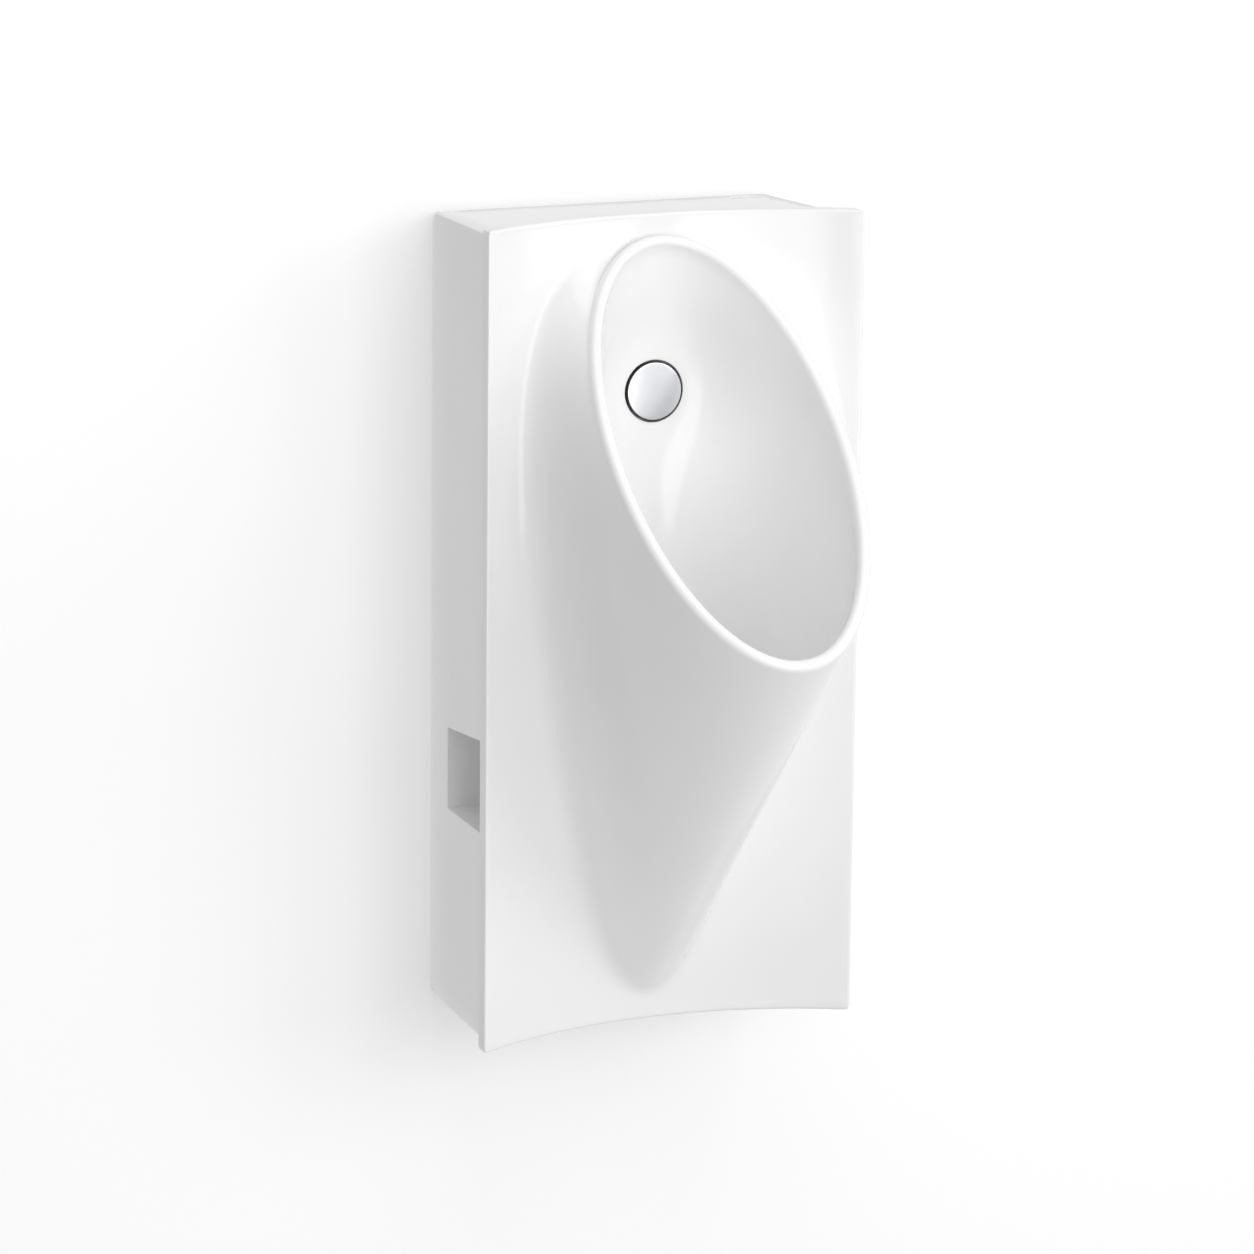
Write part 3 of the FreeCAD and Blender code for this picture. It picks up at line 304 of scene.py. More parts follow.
def between(points, share):
    """A point on the smooth curve through a row of points, share running from 0 to 1."""
    place = min(share, LAST_SHARE) * (len(points) - 1)
    i = int(place)
    t = place - i
    p1, p2 = points[i], points[i + 1]
    p0 = points[i - 1] if i else p1 * 2 - p2
    p3 = points[i + 2] if i + 2 < len(points) else p2 * 2 - p1
    return (p1 * 2 + (p2 - p0) * t + (p0 * 2 - p1 * 5 + p2 * 4 - p3) * t ** 2
            + (p1 * 3 - p0 - p2 * 3 + p3) * t ** 3) / 2


def panel_point(i, inset=0.0):
    """(x, z) of the panel's outline at ring place i, with its corners rounded, drawn in by an inset."""
    half, tall, round_off = SLAB_WIDTH / 2, SLAB_HEIGHT, PANEL_CORNER_RADIUS
    halfway = AROUND // 2
    side = 1 if i <= halfway else -1
    j = i if side > 0 else AROUND - i
    cut = round_off * (1 - math.sqrt(0.5))
    top = PANEL_TOP_PLACES
    if j <= top:
        x, z = (half - round_off) * j / top, tall
    elif j == top + 1:
        x, z = half - cut, tall - cut
    elif j < halfway - top - 1:
        run = (j - top - 2) / (halfway - 2 * top - 4)
        x, z = half, tall - round_off - (tall - 2 * round_off) * run
    elif j == halfway - top - 1:
        x, z = half - cut, cut
    else:
        x, z = (half - round_off) * (halfway - j) / top, 0.0
    x = min(x, half - inset) if inset else x
    z = min(max(z, inset), tall - inset)
    return side * x, z


def loft(rings, around=AROUND):
    """A closed solid from a row of rings; each ring gives the point at a place round it."""
    bm = bmesh.new()
    place = bm.verts.layers.int.new("place")
    start = bmesh.ops.create_circle(bm, segments=around, radius=1.0)["verts"]
    for i, v in enumerate(start):
        v[place] = i
        v.co = rings[0](i)
    first = loop = list(bm.edges)
    for ring in rings[1:]:
        made = bmesh.ops.extrude_edge_only(bm, edges=loop)["geom"]
        fresh = {g for g in made if isinstance(g, bmesh.types.BMVert)}
        loop = [g for g in made if isinstance(g, bmesh.types.BMEdge) and all(v in fresh for v in g.verts)]
        for v in fresh:
            v.co = ring(v[place])
    bmesh.ops.contextual_create(bm, geom=first)
    bmesh.ops.contextual_create(bm, geom=loop)
    return bm


def to_frame(bm):
    """Millimetres above the panel's lower edge to metres in the row's frame."""
    bmesh.ops.translate(bm, vec=Vector((0, 0, -ORIGIN_Z)), verts=bm.verts)
    bmesh.ops.scale(bm, vec=Vector((MM, MM, MM)), verts=bm.verts)
    bmesh.ops.recalc_face_normals(bm, faces=bm.faces)


def add_object(name, bm):
    """Turns a finished mesh into an object of the scene."""
    mesh = bpy.data.meshes.new(name)
    bm.to_mesh(mesh)
    bm.free()
    obj = bpy.data.objects.new(name, mesh)
    bpy.context.scene.collection.objects.link(obj)
    return obj


def angle_of(i, around=AROUND):
    """Angle of a place round a ring, from 0 at its top."""
    return 2 * math.pi * i / around


def box_ring(reach_of, inset=0.0):
    """A ring round the box behind the panel, which tapers towards the wall, drawn in by an inset."""
    def at(i):
        x, z = panel_point(i)
        share = 1 - reach_of(x) / SLAB_DEPTH
        x_in = PANEL_LIP + SIDE_TAPER * share + inset
        z_in = PANEL_LIP + TOP_TAPER * share + inset
        x *= (SLAB_WIDTH / 2 - x_in) / (SLAB_WIDTH / 2)
        return Vector((x, -reach_of(x), z_in + z * (SLAB_HEIGHT - 2 * z_in) / SLAB_HEIGHT))
    return at


def quarter_turns(steps):
    """Angles from 0 to a quarter turn."""
    return [math.pi / 2 * step / steps for step in range(steps + 1)]


def shares(steps):
    """Shares above 0 and up to 1."""
    return [step / steps for step in range(1, steps + 1)]


def blended(a, b, c, d, share):
    """A point on the curve that leaves a towards b and comes in to d from c."""
    left = 1 - share
    return a * left ** 3 + b * (3 * share * left ** 2) + c * (3 * share ** 2 * left) + d * share ** 3


def china_outside():
    """The slab, funnel, rim and bowl as one solid; its back is still closed."""
    rings = [box_ring(lambda x, turn=turn: REAR_EDGE_RADIUS * (1 - math.cos(turn)),
                      REAR_EDGE_RADIUS * (1 - math.sin(turn))) for turn in quarter_turns(REAR_EDGE_STEPS)]
    rings.append(box_ring(lambda x: front_reach(0, CHINA_WALL) / 2))
    rings.append(box_ring(lambda x: front_reach(x, CHINA_WALL)))

    def lip_ring(inset, behind):
        def at(i):
            x, z = panel_point(i, inset)
            return Vector((x, -front_reach(x, behind), z))
        return at

    rings.append(lip_ring(0.0, CHINA_WALL))
    rings += [lip_ring(PANEL_EDGE_RADIUS * (1 - math.cos(turn)), PANEL_EDGE_RADIUS * (1 - math.sin(turn)))
              for turn in quarter_turns(PANEL_EDGE_STEPS)]

    def front_ring(share):
        def at(i):
            x0, z0 = panel_point(i, PANEL_EDGE_RADIUS)
            skirt = outline_point(angle_of(i), SKIRT_OUTLINE)
            x = x0 + (skirt.x - x0) * share
            return Vector((x, -front_reach(x), z0 + (skirt.z - z0) * share))
        return at

    rings += [front_ring(share) for share in shares(FRONT_STEPS)]

    def shoulder(angle):
        root, rim = outline_point(angle, ROOT_OUTLINE), rim_point(angle, 0.0, -outer_edge_radius(angle))
        run = (rim - root).length
        skirt = outline_point(angle, SKIRT_OUTLINE)
        return root + (rim - root) * (min(run * SHOULDER_SHARE, (skirt - root).length) / run)

    def blend_ring(share):
        def at(i):
            angle = angle_of(i)
            skirt, root = outline_point(angle, SKIRT_OUTLINE), outline_point(angle, ROOT_OUTLINE)
            return blended(skirt, (skirt + root) / 2, root, shoulder(angle), share)
        return at

    rings += [blend_ring(share) for share in shares(SKIRT_STEPS)]

    def side_ring(share):
        def at(i):
            angle = angle_of(i)
            start = shoulder(angle)
            return start + (rim_point(angle, 0.0, -outer_edge_radius(angle)) - start) * share
        return at

    rings += [side_ring(share) for share in shares(FUNNEL_STEPS)]

    def outer_edge_ring(turn):
        def at(i):
            radius = outer_edge_radius(angle_of(i))
            return rim_point(angle_of(i), radius * (1 - math.cos(turn)) * RIM_EDGE_RADIUS / radius,
                             -radius * (1 - math.sin(turn)))
        return at

    def inner_edge_ring(turn):
        return lambda i: rim_point(angle_of(i), CHINA_WALL - RIM_EDGE_RADIUS * (1 - math.cos(turn)),
                                   -RIM_EDGE_RADIUS * (1 - math.sin(turn)))

    rings += [outer_edge_ring(turn) for turn in quarter_turns(RIM_OUTER_STEPS)[1:]]
    rings += [inner_edge_ring(turn) for turn in reversed(quarter_turns(RIM_INNER_STEPS))]
    return loft(rings + bowl_rings(0.0, 0.0, BOWL_STEPS))


def bowl_rings(grow, floor_drop, steps):
    """Rings from under the rim down to the bowl's floor, on the bowl's face or grown outwards from it."""
    def at_share(share):
        def at(i):
            angle = angle_of(i)
            points = [rim_point(angle, CHINA_WALL - grow, -RIM_EDGE_RADIUS)]
            points += [bowl_level(level, grow, angle) for level in BOWL_LEVELS]
            points.append(floor_point(angle, BOWL_FLOOR_RADIUS + grow, BOWL_FLOOR_Z - floor_drop))
            return flattened(between(points, share), grow)
        return at
    return [at_share(share) for share in shares(steps)]


def hidden_bowl():
    """Outside of the bowl where the slab and the funnel hide it."""
    start = [lambda i: rim_point(angle_of(i), 0.0, HOLE_OVERRUN / 2)]
    return loft(start + bowl_rings(CHINA_WALL, CHINA_WALL, HIDDEN_BOWL_STEPS))


def back_cavity():
    """The room in the box, from behind the wall plane to the back of the concave front."""
    front = box_ring(lambda x: front_reach(x, CHINA_WALL), CHINA_WALL)

    def inner_ring(share):
        def at(i):
            edge = front(i)
            x = edge.x * (1 - share)
            return Vector((x, -front_reach(x, CHINA_WALL), edge.z + (SLAB_HEIGHT / 2 - edge.z) * share))
        return at
    rings = [box_ring(lambda x: -CAVITY_OVERRUN, CHINA_WALL), front]
    return loft(rings + [inner_ring(share) for share in shares(CAVITY_STEPS)[:-1]])


def funnel_hollow():
    """The room in the funnel under the bowl's floor, which opens into the back cavity."""
    rear = SLAB_DEPTH - FRONT_HOLLOW - 2 * CHINA_WALL

    def level_ring(z, half_width):
        depth = front_wall_inside(z) - HOLLOW_NOSE_GAP - rear

        def at(i):
            angle = angle_of(i, HOLLOW_AROUND)
            x, forward = half_width * math.sin(angle), -math.cos(angle)
            if forward > 0:
                return Vector((x, -rear - depth * forward, z))
            x = math.copysign(min(half_width, abs(x) / HOLLOW_CORNER_SHARE), x)
            return Vector((x, -rear + CHINA_WALL * min(1.0, -forward * 2), z))
        return at
    return loft([level_ring(*level) for level in HOLLOW_LEVELS], HOLLOW_AROUND)


def block(x0, x1, y0, y1, z0, z1):
    """A box between two corners."""
    bm = bmesh.new()
    bmesh.ops.create_cube(bm, size=1.0)
    bmesh.ops.scale(bm, vec=Vector((x1 - x0, y1 - y0, z1 - z0)), verts=bm.verts)
    bmesh.ops.translate(bm, vec=Vector(((x0 + x1) / 2, (y0 + y1) / 2, (z0 + z1) / 2)), verts=bm.verts)
    return bm


def rod(radius, length, base, along_wall_axis=True, around=ROD_AROUND):
    """A cylinder from a base point towards the wall (+Y), or upwards."""
    bm = bmesh.new()
    bmesh.ops.create_cone(bm, cap_ends=True, segments=around, radius1=radius, radius2=radius, depth=length)
    bmesh.ops.translate(bm, vec=Vector((0, 0, length / 2)), verts=bm.verts)
    if along_wall_axis:
        bmesh.ops.rotate(bm, matrix=Matrix.Rotation(-math.pi / 2, 3, "X"), verts=bm.verts)
    bmesh.ops.translate(bm, vec=Vector(base), verts=bm.verts)
    return bm


def recess_block(side, grow):
    """The recess in one side, or (grown by the wall) the china box round it."""
    inside = SLAB_WIDTH / 2 - PANEL_LIP - RECESS_DEPTH - grow
    x0, x1 = sorted((side * inside, side * (SLAB_WIDTH / 2 + RECESS_OVERRUN)))
    bm = block(x0, x1, -SLAB_DEPTH, -RECESS_REAR_REACH + grow, RECESS_FLOOR_Z - grow,
               RECESS_FLOOR_Z + RECESS_HEIGHT + grow)
    # Cut across, so that its front can follow the curve of the panel
    for share in shares(RECESS_PARTS)[:-1]:
        bmesh.ops.bisect_plane(bm, geom=bm.verts[:] + bm.edges[:] + bm.faces[:],
                               plane_co=(x0 + (x1 - x0) * share, 0, 0), plane_no=(1, 0, 0))
    for v in [v for v in bm.verts if v.co.y < -SLAB_DEPTH / 2]:
        if v.co.z > RECESS_FLOOR_Z + RECESS_HEIGHT / 2:
            v.co.z += RECESS_TOP_RISE
        v.co.y = -front_reach(v.co.x, CHINA_WALL if grow == 0 else CHINA_WALL / 2)
    return bm


def carve(target, cutters, operation):
    """Applies one boolean after another to the target and takes the cutters away."""
    for bm in cutters:
        to_frame(bm)
        cutter = add_object("cutter", bm)
        step = target.modifiers.new("step", "BOOLEAN")
        step.operation = operation
        step.solver = "MANIFOLD"
        step.object = cutter
        graph = bpy.context.evaluated_depsgraph_get()
        carved = bpy.data.meshes.new_from_object(target.evaluated_get(graph))
        if len(carved.polygons) == 0:
            raise RuntimeError("a %s of the %s came out empty" % (operation, target.name))
        target.modifiers.clear()
        old = target.data
        target.data = carved
        bpy.data.meshes.remove(old)
        mesh = cutter.data
        bpy.data.objects.remove(cutter)
        bpy.data.meshes.remove(mesh)


def china_cavity():
    """Everything that is hollow behind the china's faces, as one solid."""
    bm = back_cavity()
    to_frame(bm)
    cavity = add_object("cavity", bm)
    carve(cavity, [funnel_hollow()], "UNION")
    solids = [hidden_bowl(),
              rod(INLET_PAD_RADIUS, BOWL_BACK_REACH - INLET_PAD_BACK, (0, -BOWL_BACK_REACH, INLET_Z)),
              block(-LEDGE_HALF_WIDTH, LEDGE_HALF_WIDTH, -LEDGE_REAR_REACH - LEDGE_THICKNESS,
                    -LEDGE_REAR_REACH, LEDGE_Z, SLAB_HEIGHT - PANEL_LIP)]
    for side in (-1, 1):
        solids.append(recess_block(side, CHINA_WALL))
        solids.append(rod(FIXING_BOSS_RADIUS, RECESS_REAR_REACH + BOSS_OVERRUN,
                          (side * FIXING_HALF_SPACING, -RECESS_REAR_REACH, FIXING_Z)))
    carve(cavity, solids, "DIFFERENCE")
    bm = bmesh.new()
    bm.from_mesh(cavity.data)
    bmesh.ops.scale(bm, vec=Vector((1 / MM,) * 3), verts=bm.verts)
    bmesh.ops.translate(bm, vec=Vector((0, 0, ORIGIN_Z)), verts=bm.verts)
    bpy.data.objects.remove(cavity)
    return bm


def make_china():
    """The china body, hollow behind and with all its holes."""
    bm = china_outside()
    to_frame(bm)
    china = add_object("china", bm)
    holes = [china_cavity(),
             rod(CAP_RADIUS + CAP_GAP, CAP_RECESS + POCKET_CUT, (0, -BOWL_BACK_REACH - POCKET_CUT, INLET_Z),
                 around=CAP_AROUND),
             rod(INLET_HOLE_RADIUS, INLET_CUT, (0, -BOWL_BACK_REACH, INLET_Z)),
             rod(DRAIN_HOLE_RADIUS, DRAIN_CUT, (0, -DRAIN_REACH, BOWL_FLOOR_Z - DRAIN_CUT_START), False),
             rod(ACCESS_HOLE_RADIUS, ACCESS_CUT, (0, -TRAP_REACH, -ACCESS_CUT_START), False),
             block(TOP_SLOT[0], TOP_SLOT[1], -TOP_SLOT[3], -TOP_SLOT[2],
                   SLAB_HEIGHT - PANEL_LIP - TOP_TAPER - TOP_SLOT_DEPTH, SLAB_HEIGHT)]
    for side in (-1, 1):
        holes.append(recess_block(side, 0.0))
        holes.append(rod(FIXING_HOLE_RADIUS, RECESS_REAR_REACH + BOSS_OVERRUN,
                         (side * FIXING_HALF_SPACING, -RECESS_REAR_REACH - HOLE_OVERRUN, FIXING_Z)))
    carve(china, holes, "DIFFERENCE")
    bm = bmesh.new()
    bm.from_mesh(china.data)
    bmesh.ops.remove_doubles(bm, verts=bm.verts, dist=WELD * MM)
    bmesh.ops.recalc_face_normals(bm, faces=bm.faces)
    bm.to_mesh(china.data)
    bm.free()
    smooth(china, CHINA_SHARP_ANGLE)
    return china


def smooth(obj, sharp_angle):
    """Smooth shading, with the edges that turn by more than an angle left crisp."""
    obj.data.shade_smooth()
    obj.data.set_sharp_from_angle(angle=math.radians(sharp_angle))


def spun(name, profile):
    """A closed profile of (radius, reach) points turned once round the inlet's axis."""
    bm = bmesh.new()
    verts = [bm.verts.new((r, -reach, INLET_Z)) for r, reach in profile]
    edges = [bm.edges.new(pair) for pair in zip(verts, verts[1:])]
    bmesh.ops.spin(bm, geom=verts + edges, cent=(0, 0, INLET_Z), axis=(0, 1, 0), angle=2 * math.pi,
                   steps=CAP_AROUND, use_merge=True)
    bmesh.ops.remove_doubles(bm, verts=bm.verts, dist=SPUN_WELD)
    to_frame(bm)
    return add_object(name, bm)


def make_cap():
    """The round cap: a crowned disc and its hub, with the ring's groove and the windows for the water."""
    sphere = (CAP_RADIUS ** 2 + CAP_CROWN ** 2) / (2 * CAP_CROWN)
    front = CAP_BACK_REACH + CAP_THICKNESS + CAP_CROWN
    disc_radius = CAP_RADIUS - CAP_SHADOW_RING_WIDTH
    face_radius = disc_radius - CAP_EDGE_RADIUS
    profile = [(0.0, front)]
    for share in shares(CAP_FACE_STEPS):
        r = face_radius * share
        profile.append((r, front - sphere + math.sqrt(sphere ** 2 - r ** 2)))
    edge_reach = profile[-1][1] - CAP_EDGE_RADIUS
    for turn in quarter_turns(CAP_EDGE_STEPS)[1:]:
        profile.append((face_radius + CAP_EDGE_RADIUS * math.sin(turn),
                        edge_reach + CAP_EDGE_RADIUS * math.cos(turn)))
    groove_floor = HUB_RADIUS - HUB_GROOVE_DEPTH
    groove_front, groove_back = HUB_END_REACH + 2 * HUB_GROOVE_WIDTH, HUB_END_REACH + HUB_GROOVE_WIDTH
    profile += [(disc_radius, CAP_BACK_REACH), (HUB_RADIUS, CAP_BACK_REACH),
                (HUB_RADIUS, groove_front), (groove_floor, groove_front),
                (groove_floor, groove_back), (HUB_RADIUS, groove_back),
                (HUB_RADIUS, HUB_END_REACH), (HUB_RADIUS - HUB_WALL, HUB_END_REACH),
                (HUB_RADIUS - HUB_WALL, CAP_BACK_REACH), (0.0, CAP_BACK_REACH)]
    cap = spun("cap", profile)
    windows = []
    for i in range(WINDOWS // 2):
        bm = block(-WINDOW_WIDTH / 2, WINDOW_WIDTH / 2, -CAP_BACK_REACH, -CAP_BACK_REACH + WINDOW_DEPTH,
                   INLET_Z - CAP_RADIUS, INLET_Z + CAP_RADIUS)
        bmesh.ops.rotate(bm, cent=(0, 0, INLET_Z), matrix=Matrix.Rotation(2 * math.pi * i / WINDOWS, 3, "Y"),
                         verts=bm.verts)
        windows.append(bm)
    carve(cap, windows, "DIFFERENCE")
    smooth(cap, CAP_SHARP_ANGLE)
    return cap


def make_cap_shadow_ring():
    """The dark ring round the disc's edge, with a rounded front: a piece in painted shade that stands in for
    the shadow in the gap round the cap.
    """
    half = CAP_SHADOW_RING_WIDTH / 2
    inner, middle = CAP_RADIUS - CAP_SHADOW_RING_WIDTH, CAP_RADIUS - half
    front = CAP_BACK_REACH + CAP_THICKNESS - half
    profile = [(inner, CAP_BACK_REACH)]
    for step in range(CAP_SHADOW_RING_STEPS + 1):
        turn = math.pi * (1 - step / CAP_SHADOW_RING_STEPS)
        profile.append((middle + half * math.cos(turn), front + half * math.sin(turn)))
    profile += [(CAP_RADIUS, CAP_BACK_REACH), (inner, CAP_BACK_REACH)]
    lip = spun("cap_shadow_ring", profile)
    smooth(lip, CAP_SHARP_ANGLE)
    return lip


# ---------------------------------------------------------------- finishes


def linear(hex_code):
    """An sRGB hex colour as linear RGBA."""
    values = [int(hex_code[i:i + 2], 16) / 255 for i in (1, 3, 5)]
    return tuple(v / 12.92 if v <= 0.04045 else ((v + 0.055) / 1.055) ** 2.4 for v in values) + (1.0,)


def material(name):
    """A new material with an empty node tree."""
    made = bpy.data.materials.new(name)
    made.use_nodes = True
    made.node_tree.nodes.clear()
    return made


def node(mat, kind, settings=None, links=None):
    """Adds a node, sets its properties and input values, and links its inputs to (node, output) pairs."""
    made = mat.node_tree.nodes.new(kind)
    for key, value in (settings or {}).items():
        if isinstance(key, str) and hasattr(made, key) and key not in made.inputs:
            setattr(made, key, value)
        else:
            made.inputs[key].default_value = value
    for key, (source, output) in (links or {}).items():
        mat.node_tree.links.new(source.outputs[output], made.inputs[key])
    return made


def speckle(mat, grain, detail=2.0):
    """Noise on Object coordinates; grain is the size of its patches in millimetres."""
    place = node(mat, "ShaderNodeTexCoord")
    return node(mat, "ShaderNodeTexNoise", {"Scale": 1 / (grain * MM), "Detail": detail},
                {"Vector": (place, "Object")})


def ramp(mat, source, output, low, high):
    """Turns a noise into a soft change from one colour to another."""
    made = node(mat, "ShaderNodeValToRGB", None, {"Fac": (source, output)})
    made.color_ramp.elements[0].position, made.color_ramp.elements[0].color = 0.3, low
    made.color_ramp.elements[1].position, made.color_ramp.elements[1].color = 0.7, high
    return made


def finish_of(mat, settings, links):
    """Ends a material in one principled shader."""
    shader = node(mat, "ShaderNodeBsdfPrincipled", settings, links)
    node(mat, "ShaderNodeOutputMaterial", None, {"Surface": (shader, "BSDF")})
    return mat


def glazed_vitreous_china(hex_light, hex_dark):
    """Fired white glaze: bright, a touch uneven in tone, with soft wide reflections."""
    mat = material("glazed_vitreous_china")
    # The glaze is thinner here and thicker there, so its white drifts by a hair over a hand's width
    cloud = speckle(mat, 111.0)
    tone = ramp(mat, cloud, "Fac", linear(hex_dark), linear(hex_light))
    # It pools as it melts, which makes the gloss a little sharper in some patches than in others
    pooled = speckle(mat, 25.0, 3.0)
    rough = node(mat, "ShaderNodeMapRange", {"To Min": 0.10, "To Max": 0.17}, {"Value": (pooled, "Fac")})
    # Faint orange peel bends the edges of reflections, and is too shallow to see as relief
    wave = speckle(mat, 14.3, 1.0)
    bump = node(mat, "ShaderNodeBump", {"Strength": 0.03, "Distance": 0.001}, {"Height": (wave, "Fac")})
    return finish_of(mat, {"IOR": 1.5}, {"Base Color": (tone, "Color"), "Roughness": (rough, "Result"),
                                         "Normal": (bump, "Normal")})


def chrome_plated_brass(hex_colour):
    """Polished chrome plate: a cool mirror, slightly veiled by cleaning."""
    mat = material("chrome_plated_brass")
    # The haze of wiping marks spreads the lamps' reflections into a soft gradient across the disc
    haze = speckle(mat, 3.3)
    rough = node(mat, "ShaderNodeMapRange", {"To Min": 0.17, "To Max": 0.24}, {"Value": (haze, "Fac")})
    return finish_of(mat, {"Base Color": linear(hex_colour), "Metallic": 1.0},
                     {"Roughness": (rough, "Result")})


def metal(name, hex_light, hex_dark, roughness, grain):
    """A bare metal whose grain shifts its tone, its gloss and, a little, its relief."""
    mat = material(name)
    grit = speckle(mat, grain, 3.0)
    tone = ramp(mat, grit, "Fac", linear(hex_dark), linear(hex_light))
    rough = node(mat, "ShaderNodeMapRange", {"To Min": roughness * 0.8, "To Max": roughness * 1.2},
                 {"Value": (grit, "Fac")})
    bump = node(mat, "ShaderNodeBump", {"Strength": 0.05, "Distance": 0.0005}, {"Height": (grit, "Fac")})
    return finish_of(mat, {"Metallic": 1.0}, {"Base Color": (tone, "Color"), "Roughness": (rough, "Result"),
                                              "Normal": (bump, "Normal")})


def moulded(name, hex_light, hex_dark, roughness, grain):
    """A moulded plastic or rubber with the fine texture of its mould."""
    mat = material(name)
    grit = speckle(mat, grain, 2.0)
    tone = ramp(mat, grit, "Fac", linear(hex_dark), linear(hex_light))
    bump = node(mat, "ShaderNodeBump", {"Strength": 0.08, "Distance": 0.0003}, {"Height": (grit, "Fac")})
    return finish_of(mat, {"Roughness": roughness, "IOR": 1.5},
                     {"Base Color": (tone, "Color"), "Normal": (bump, "Normal")})


def machined_brass():
    """Brass turned from bar and left bare."""
    # Warm yellow, with a fine grain of tool marks that softens its highlights
    return metal("machined_brass", "#D3B574", "#B8975A", 0.28, 1.1)


def brushed_stainless_steel():
    """Steel pressed from brushed sheet."""
    # A neutral grey whose close grain breaks up what it mirrors
    return metal("brushed_stainless_steel", "#C9C9C7", "#B3B3B1", 0.3, 0.71)


def zinc_plated_steel():
    """Bent steel plate with a coat of zinc."""
    # Bluish grey and dull, clouded by zinc crystals a few millimetres across
    return metal("zinc_plated_steel", "#B9BDC1", "#9DA1A6", 0.42, 3.8)


def rubber_and_painted_shade():
    """Black rubber from a fine mould: real rubber on the fittings, and painted shade on the dark ring round
    the cap.
    """
    # Nearly no gloss, so that it reads as a dark line between china and chrome; round the cap that line is
    # painted shade, standing in for the shadow in the gap
    return moulded("rubber_and_painted_shade", "#232323", "#161616", 0.55, 0.67)


def moulded_polypropylene():
    """White plastic of the waste fittings, straight from the mould."""
    # Warmer than the china, with a waxy half gloss beside its hard one
    return moulded("moulded_polypropylene", "#E4E4E0", "#DADAD5", 0.42, 1.43)


def cover(obj, mat):
    """Gives one object a finish."""
    obj.data.materials.clear()
    obj.data.materials.append(mat)


# ---------------------------------------------------------------- stage


def matt_white_wall():
    """Matt paint that comes out white in the picture and clear from behind."""
    mat = material("matt_white_wall")
    ray = node(mat, "ShaderNodeLightPath")
    paint = node(mat, "ShaderNodeBsdfDiffuse", {"Color": linear("#F4F4F4")})
    glow = node(mat, "ShaderNodeEmission", {"Color": (1, 1, 1, 1), "Strength": WALL_GLOW})
    lit = node(mat, "ShaderNodeAddShader", None, {0: (paint, "BSDF"), 1: (glow, "Emission")})
    front = node(mat, "ShaderNodeMixShader", None,
                 {"Fac": (ray, "Is Camera Ray"), 1: (paint, "BSDF"), 2: (lit, "Shader")})
    side = node(mat, "ShaderNodeNewGeometry")
    clear = node(mat, "ShaderNodeBsdfTransparent")
    wall = node(mat, "ShaderNodeMixShader", None,
                {"Fac": (side, "Backfacing"), 1: (front, "Shader"), 2: (clear, "BSDF")})
    node(mat, "ShaderNodeOutputMaterial", None, {"Surface": (wall, "Shader")})
    return mat


def make_backdrop(stage):
    """The pale wall that the urinal hangs on, and the floor in front of it."""
    half = stage.wall_size / 2
    bm = bmesh.new()
    bmesh.ops.create_grid(bm, x_segments=1, y_segments=1, size=half)
    bmesh.ops.rotate(bm, matrix=Matrix.Rotation(math.pi / 2, 3, "X"), verts=bm.verts)
    bmesh.ops.translate(bm, vec=Vector((0, WALL_BEHIND, 0)), verts=bm.verts)
    foot = [e for e in bm.edges if all(v.co.z < 0 for v in e.verts)]
    corners = [v for v in bm.verts if v.co.z < 0]
    bmesh.ops.translate(bm, vec=Vector((0, 0, half + FLOOR_Z)), verts=corners)
    made = bmesh.ops.extrude_edge_only(bm, edges=foot)["geom"]
    bmesh.ops.translate(bm, vec=Vector((0, -half, 0)),
                        verts=[g for g in made if isinstance(g, bmesh.types.BMVert)])
    backdrop = add_object("backdrop", bm)
    cover(backdrop, matt_white_wall())
    # It takes shadows, and throws no light or reflection of its own on the china
    backdrop.visible_diffuse = backdrop.visible_glossy = backdrop.visible_transmission = False


def make_sky(scene, stage):
    """Even light from all round, which is white where the camera or a mirror looks at it."""
    world = bpy.data.worlds.new("studio")
    scene.world = world
    world.use_nodes = True
    world.node_tree.nodes.clear()
    ray = node(world, "ShaderNodeLightPath")
    sky = node(world, "ShaderNodeBackground", {"Color": (1, 1, 1, 1), "Strength": stage.sky})
    white = node(world, "ShaderNodeBackground", {"Color": (1, 1, 1, 1), "Strength": 1.0})
    seen = node(world, "ShaderNodeMath", {"operation": "MAXIMUM"},
                {0: (ray, "Is Camera Ray"), 1: (ray, "Is Glossy Ray")})
    both_skies = node(world, "ShaderNodeMixShader", None,
                      {"Fac": (seen, "Value"), 1: (sky, "Background"), 2: (white, "Background")})
    node(world, "ShaderNodeOutputWorld", None, {"Surface": (both_skies, "Shader")})


def make_lights(scene, stage):
    """Four large soft lamps, all aimed at the middle of the urinal."""
    for name, place, power in SOFT_LIGHTS:
        lamp = bpy.data.lights.new(name, "AREA")
        lamp.size = SOFT_LIGHT_SIZE
        lamp.energy = power * stage.lamps
        light = bpy.data.objects.new(name, lamp)
        light.location = place
        light.rotation_euler = (Vector(LIGHT_AIM) - light.location).to_track_quat("-Z", "Y").to_euler()
        scene.collection.objects.link(light)


def make_camera(scene, stage):
    """A long lens from the left and a little above."""
    camera_data = bpy.data.cameras.new("camera")
    camera_data.sensor_width = SENSOR_WIDTH
    camera_data.lens = stage.lens
    camera_data.clip_end = VIEW_DEPTH
    camera = bpy.data.objects.new("camera", camera_data)
    camera.location = CAMERA_PLACE
    camera.rotation_euler = Euler([math.radians(a) for a in CAMERA_TURN])
    scene.collection.objects.link(camera)
    scene.camera = camera


# ---------------------------------------------------------------- settings, operators and panel


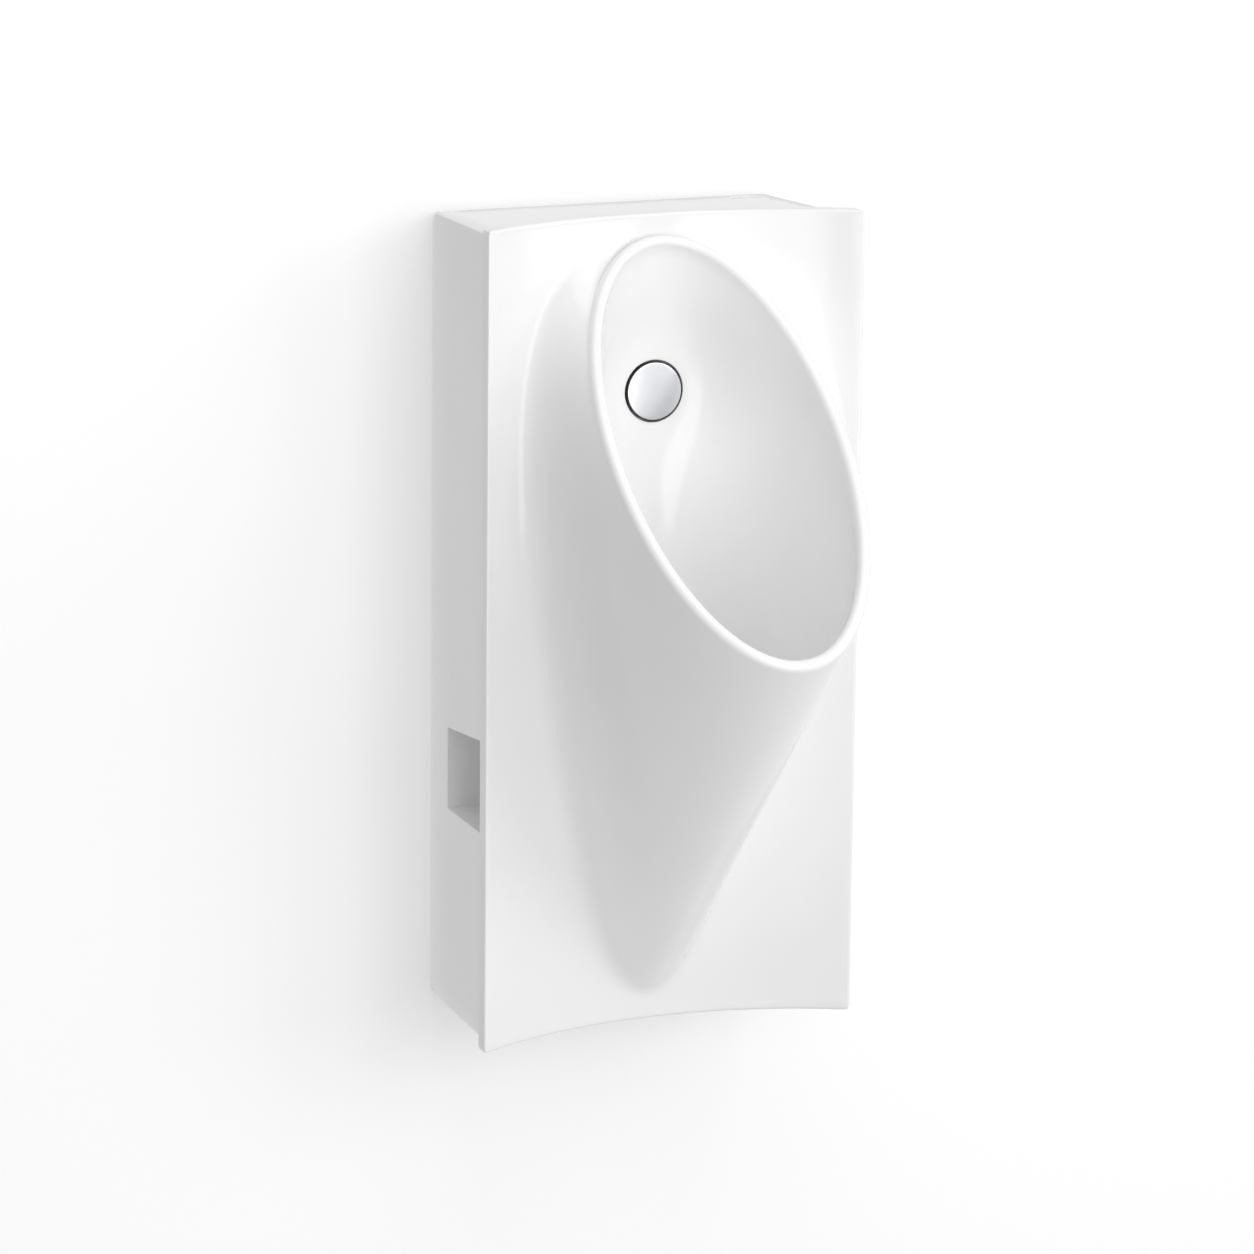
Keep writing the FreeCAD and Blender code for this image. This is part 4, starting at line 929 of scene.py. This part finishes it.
class UrinalFinishes(bpy.types.PropertyGroup):
    """Colours of the pieces that show"""
    china_light: bpy.props.StringProperty(name="China", default="#F9F9F9",
                                          description="Colour of the glaze where it is thin")
    china_dark: bpy.props.StringProperty(name="China, pooled", default="#F6F6F6",
                                         description="Colour of the glaze where it pools")
    chrome: bpy.props.StringProperty(name="Chrome", default="#D9DADE",
                                     description="Colour of the polished cap")


class UrinalStage(bpy.types.PropertyGroup):
    """Camera, backdrop and light"""
    lens: bpy.props.FloatProperty(name="Lens", description="Focal length of the camera on a 36 mm sensor",
                                  default=159.17, unit="CAMERA")
    wall_size: bpy.props.FloatProperty(name="Wall", description="Width and height of the backdrop wall",
                                       default=12.0, unit="LENGTH")
    lamps: bpy.props.FloatProperty(name="Lamps", description="Share of full power of the four soft lights",
                                   default=1.0, subtype="FACTOR")
    sky: bpy.props.FloatProperty(name="Sky", description="Strength of the light from all round", default=0.49)


class URINAL_OT_china(bpy.types.Operator):
    """Makes the one-piece glazed china body"""
    bl_idname = "urinal.china"
    bl_label = "China body"

    def execute(self, context):
        finishes = context.scene.urinal_finishes
        china = make_china()
        cover(china, glazed_vitreous_china(finishes.china_light, finishes.china_dark))
        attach(china, "fixture")
        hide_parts("china_body")
        return {"FINISHED"}


class URINAL_OT_cap(bpy.types.Operator):
    """Makes the polished round cap over the flush inlet and the dark ring round its edge, which is painted
    shade standing in for the shadow in the gap
    """
    bl_idname = "urinal.cap"
    bl_label = "Cap"

    def execute(self, context):
        cap = make_cap()
        cover(cap, chrome_plated_brass(context.scene.urinal_finishes.chrome))
        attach(cap, "spreader_cap")
        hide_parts("spreader_cap")
        # A dark ring of painted shade round the disc, standing in for the shadow in the gap round the cap
        lip = make_cap_shadow_ring()
        cover(lip, rubber_and_painted_shade())
        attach(lip, "spreader_cap")
        return {"FINISHED"}


class URINAL_OT_fittings(bpy.types.Operator):
    """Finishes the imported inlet, drain, trap, hanger and fixings"""
    bl_idname = "urinal.fittings"
    bl_label = "Fittings"

    def execute(self, context):
        slots = {row["node"]: row["material_slot"] for row in frame["record"]["subparts"]}
        made = {
            "polished_chrome": bpy.data.materials["chrome_plated_brass"],
            "brass": machined_brass(),
            "stainless_steel": brushed_stainless_steel(),
            "galvanised_steel": zinc_plated_steel(),
            # the same dark finish that paints the shade round the cap, here on real rubber parts
            "black_rubber": bpy.data.materials["rubber_and_painted_shade"],
            "white_plastic": moulded_polypropylene(),
            "glazed_vitreous_china": bpy.data.materials["glazed_vitreous_china"],
        }
        for name, slot in slots.items():
            cover(frame["nodes"][name], made[slot])
        return {"FINISHED"}


class URINAL_OT_stage(bpy.types.Operator):
    """Makes the pale wall and floor, the lights and the camera"""
    bl_idname = "urinal.stage"
    bl_label = "Stage"

    def execute(self, context):
        stage = context.scene.urinal_stage
        make_backdrop(stage)
        make_sky(context.scene, stage)
        make_lights(context.scene, stage)
        make_camera(context.scene, stage)
        context.scene.view_settings.view_transform = "Standard"
        return {"FINISHED"}


class URINAL_PT_panel(bpy.types.Panel):
    """Lists the pieces and the stage"""
    bl_idname = "URINAL_PT_panel"
    bl_label = "Wall Hung Urinal"
    bl_space_type = "VIEW_3D"
    bl_region_type = "UI"
    bl_category = "Urinal"

    def draw(self, context):
        for name in ("urinal.china", "urinal.cap", "urinal.fittings", "urinal.stage"):
            self.layout.operator(name)
        for group in (context.scene.urinal_finishes, context.scene.urinal_stage):
            for name in group.__annotations__:
                self.layout.prop(group, name)


CLASSES = (UrinalFinishes, UrinalStage, URINAL_OT_china, URINAL_OT_cap, URINAL_OT_fittings,
           URINAL_OT_stage, URINAL_PT_panel)


def register():
    """Makes the settings, the operators and the panel known to Blender."""
    for each in CLASSES:
        bpy.utils.register_class(each)
    bpy.types.Scene.urinal_finishes = bpy.props.PointerProperty(type=UrinalFinishes)
    bpy.types.Scene.urinal_stage = bpy.props.PointerProperty(type=UrinalStage)


def unregister():
    """Takes them away again."""
    del bpy.types.Scene.urinal_stage
    del bpy.types.Scene.urinal_finishes
    for each in reversed(CLASSES):
        bpy.utils.unregister_class(each)


def main():
    """Builds the whole scene."""
    register()
    bpy.ops.urinal.china()
    bpy.ops.urinal.cap()
    bpy.ops.urinal.fittings()
    bpy.ops.urinal.stage()


if __name__ == "__main__":
    main()
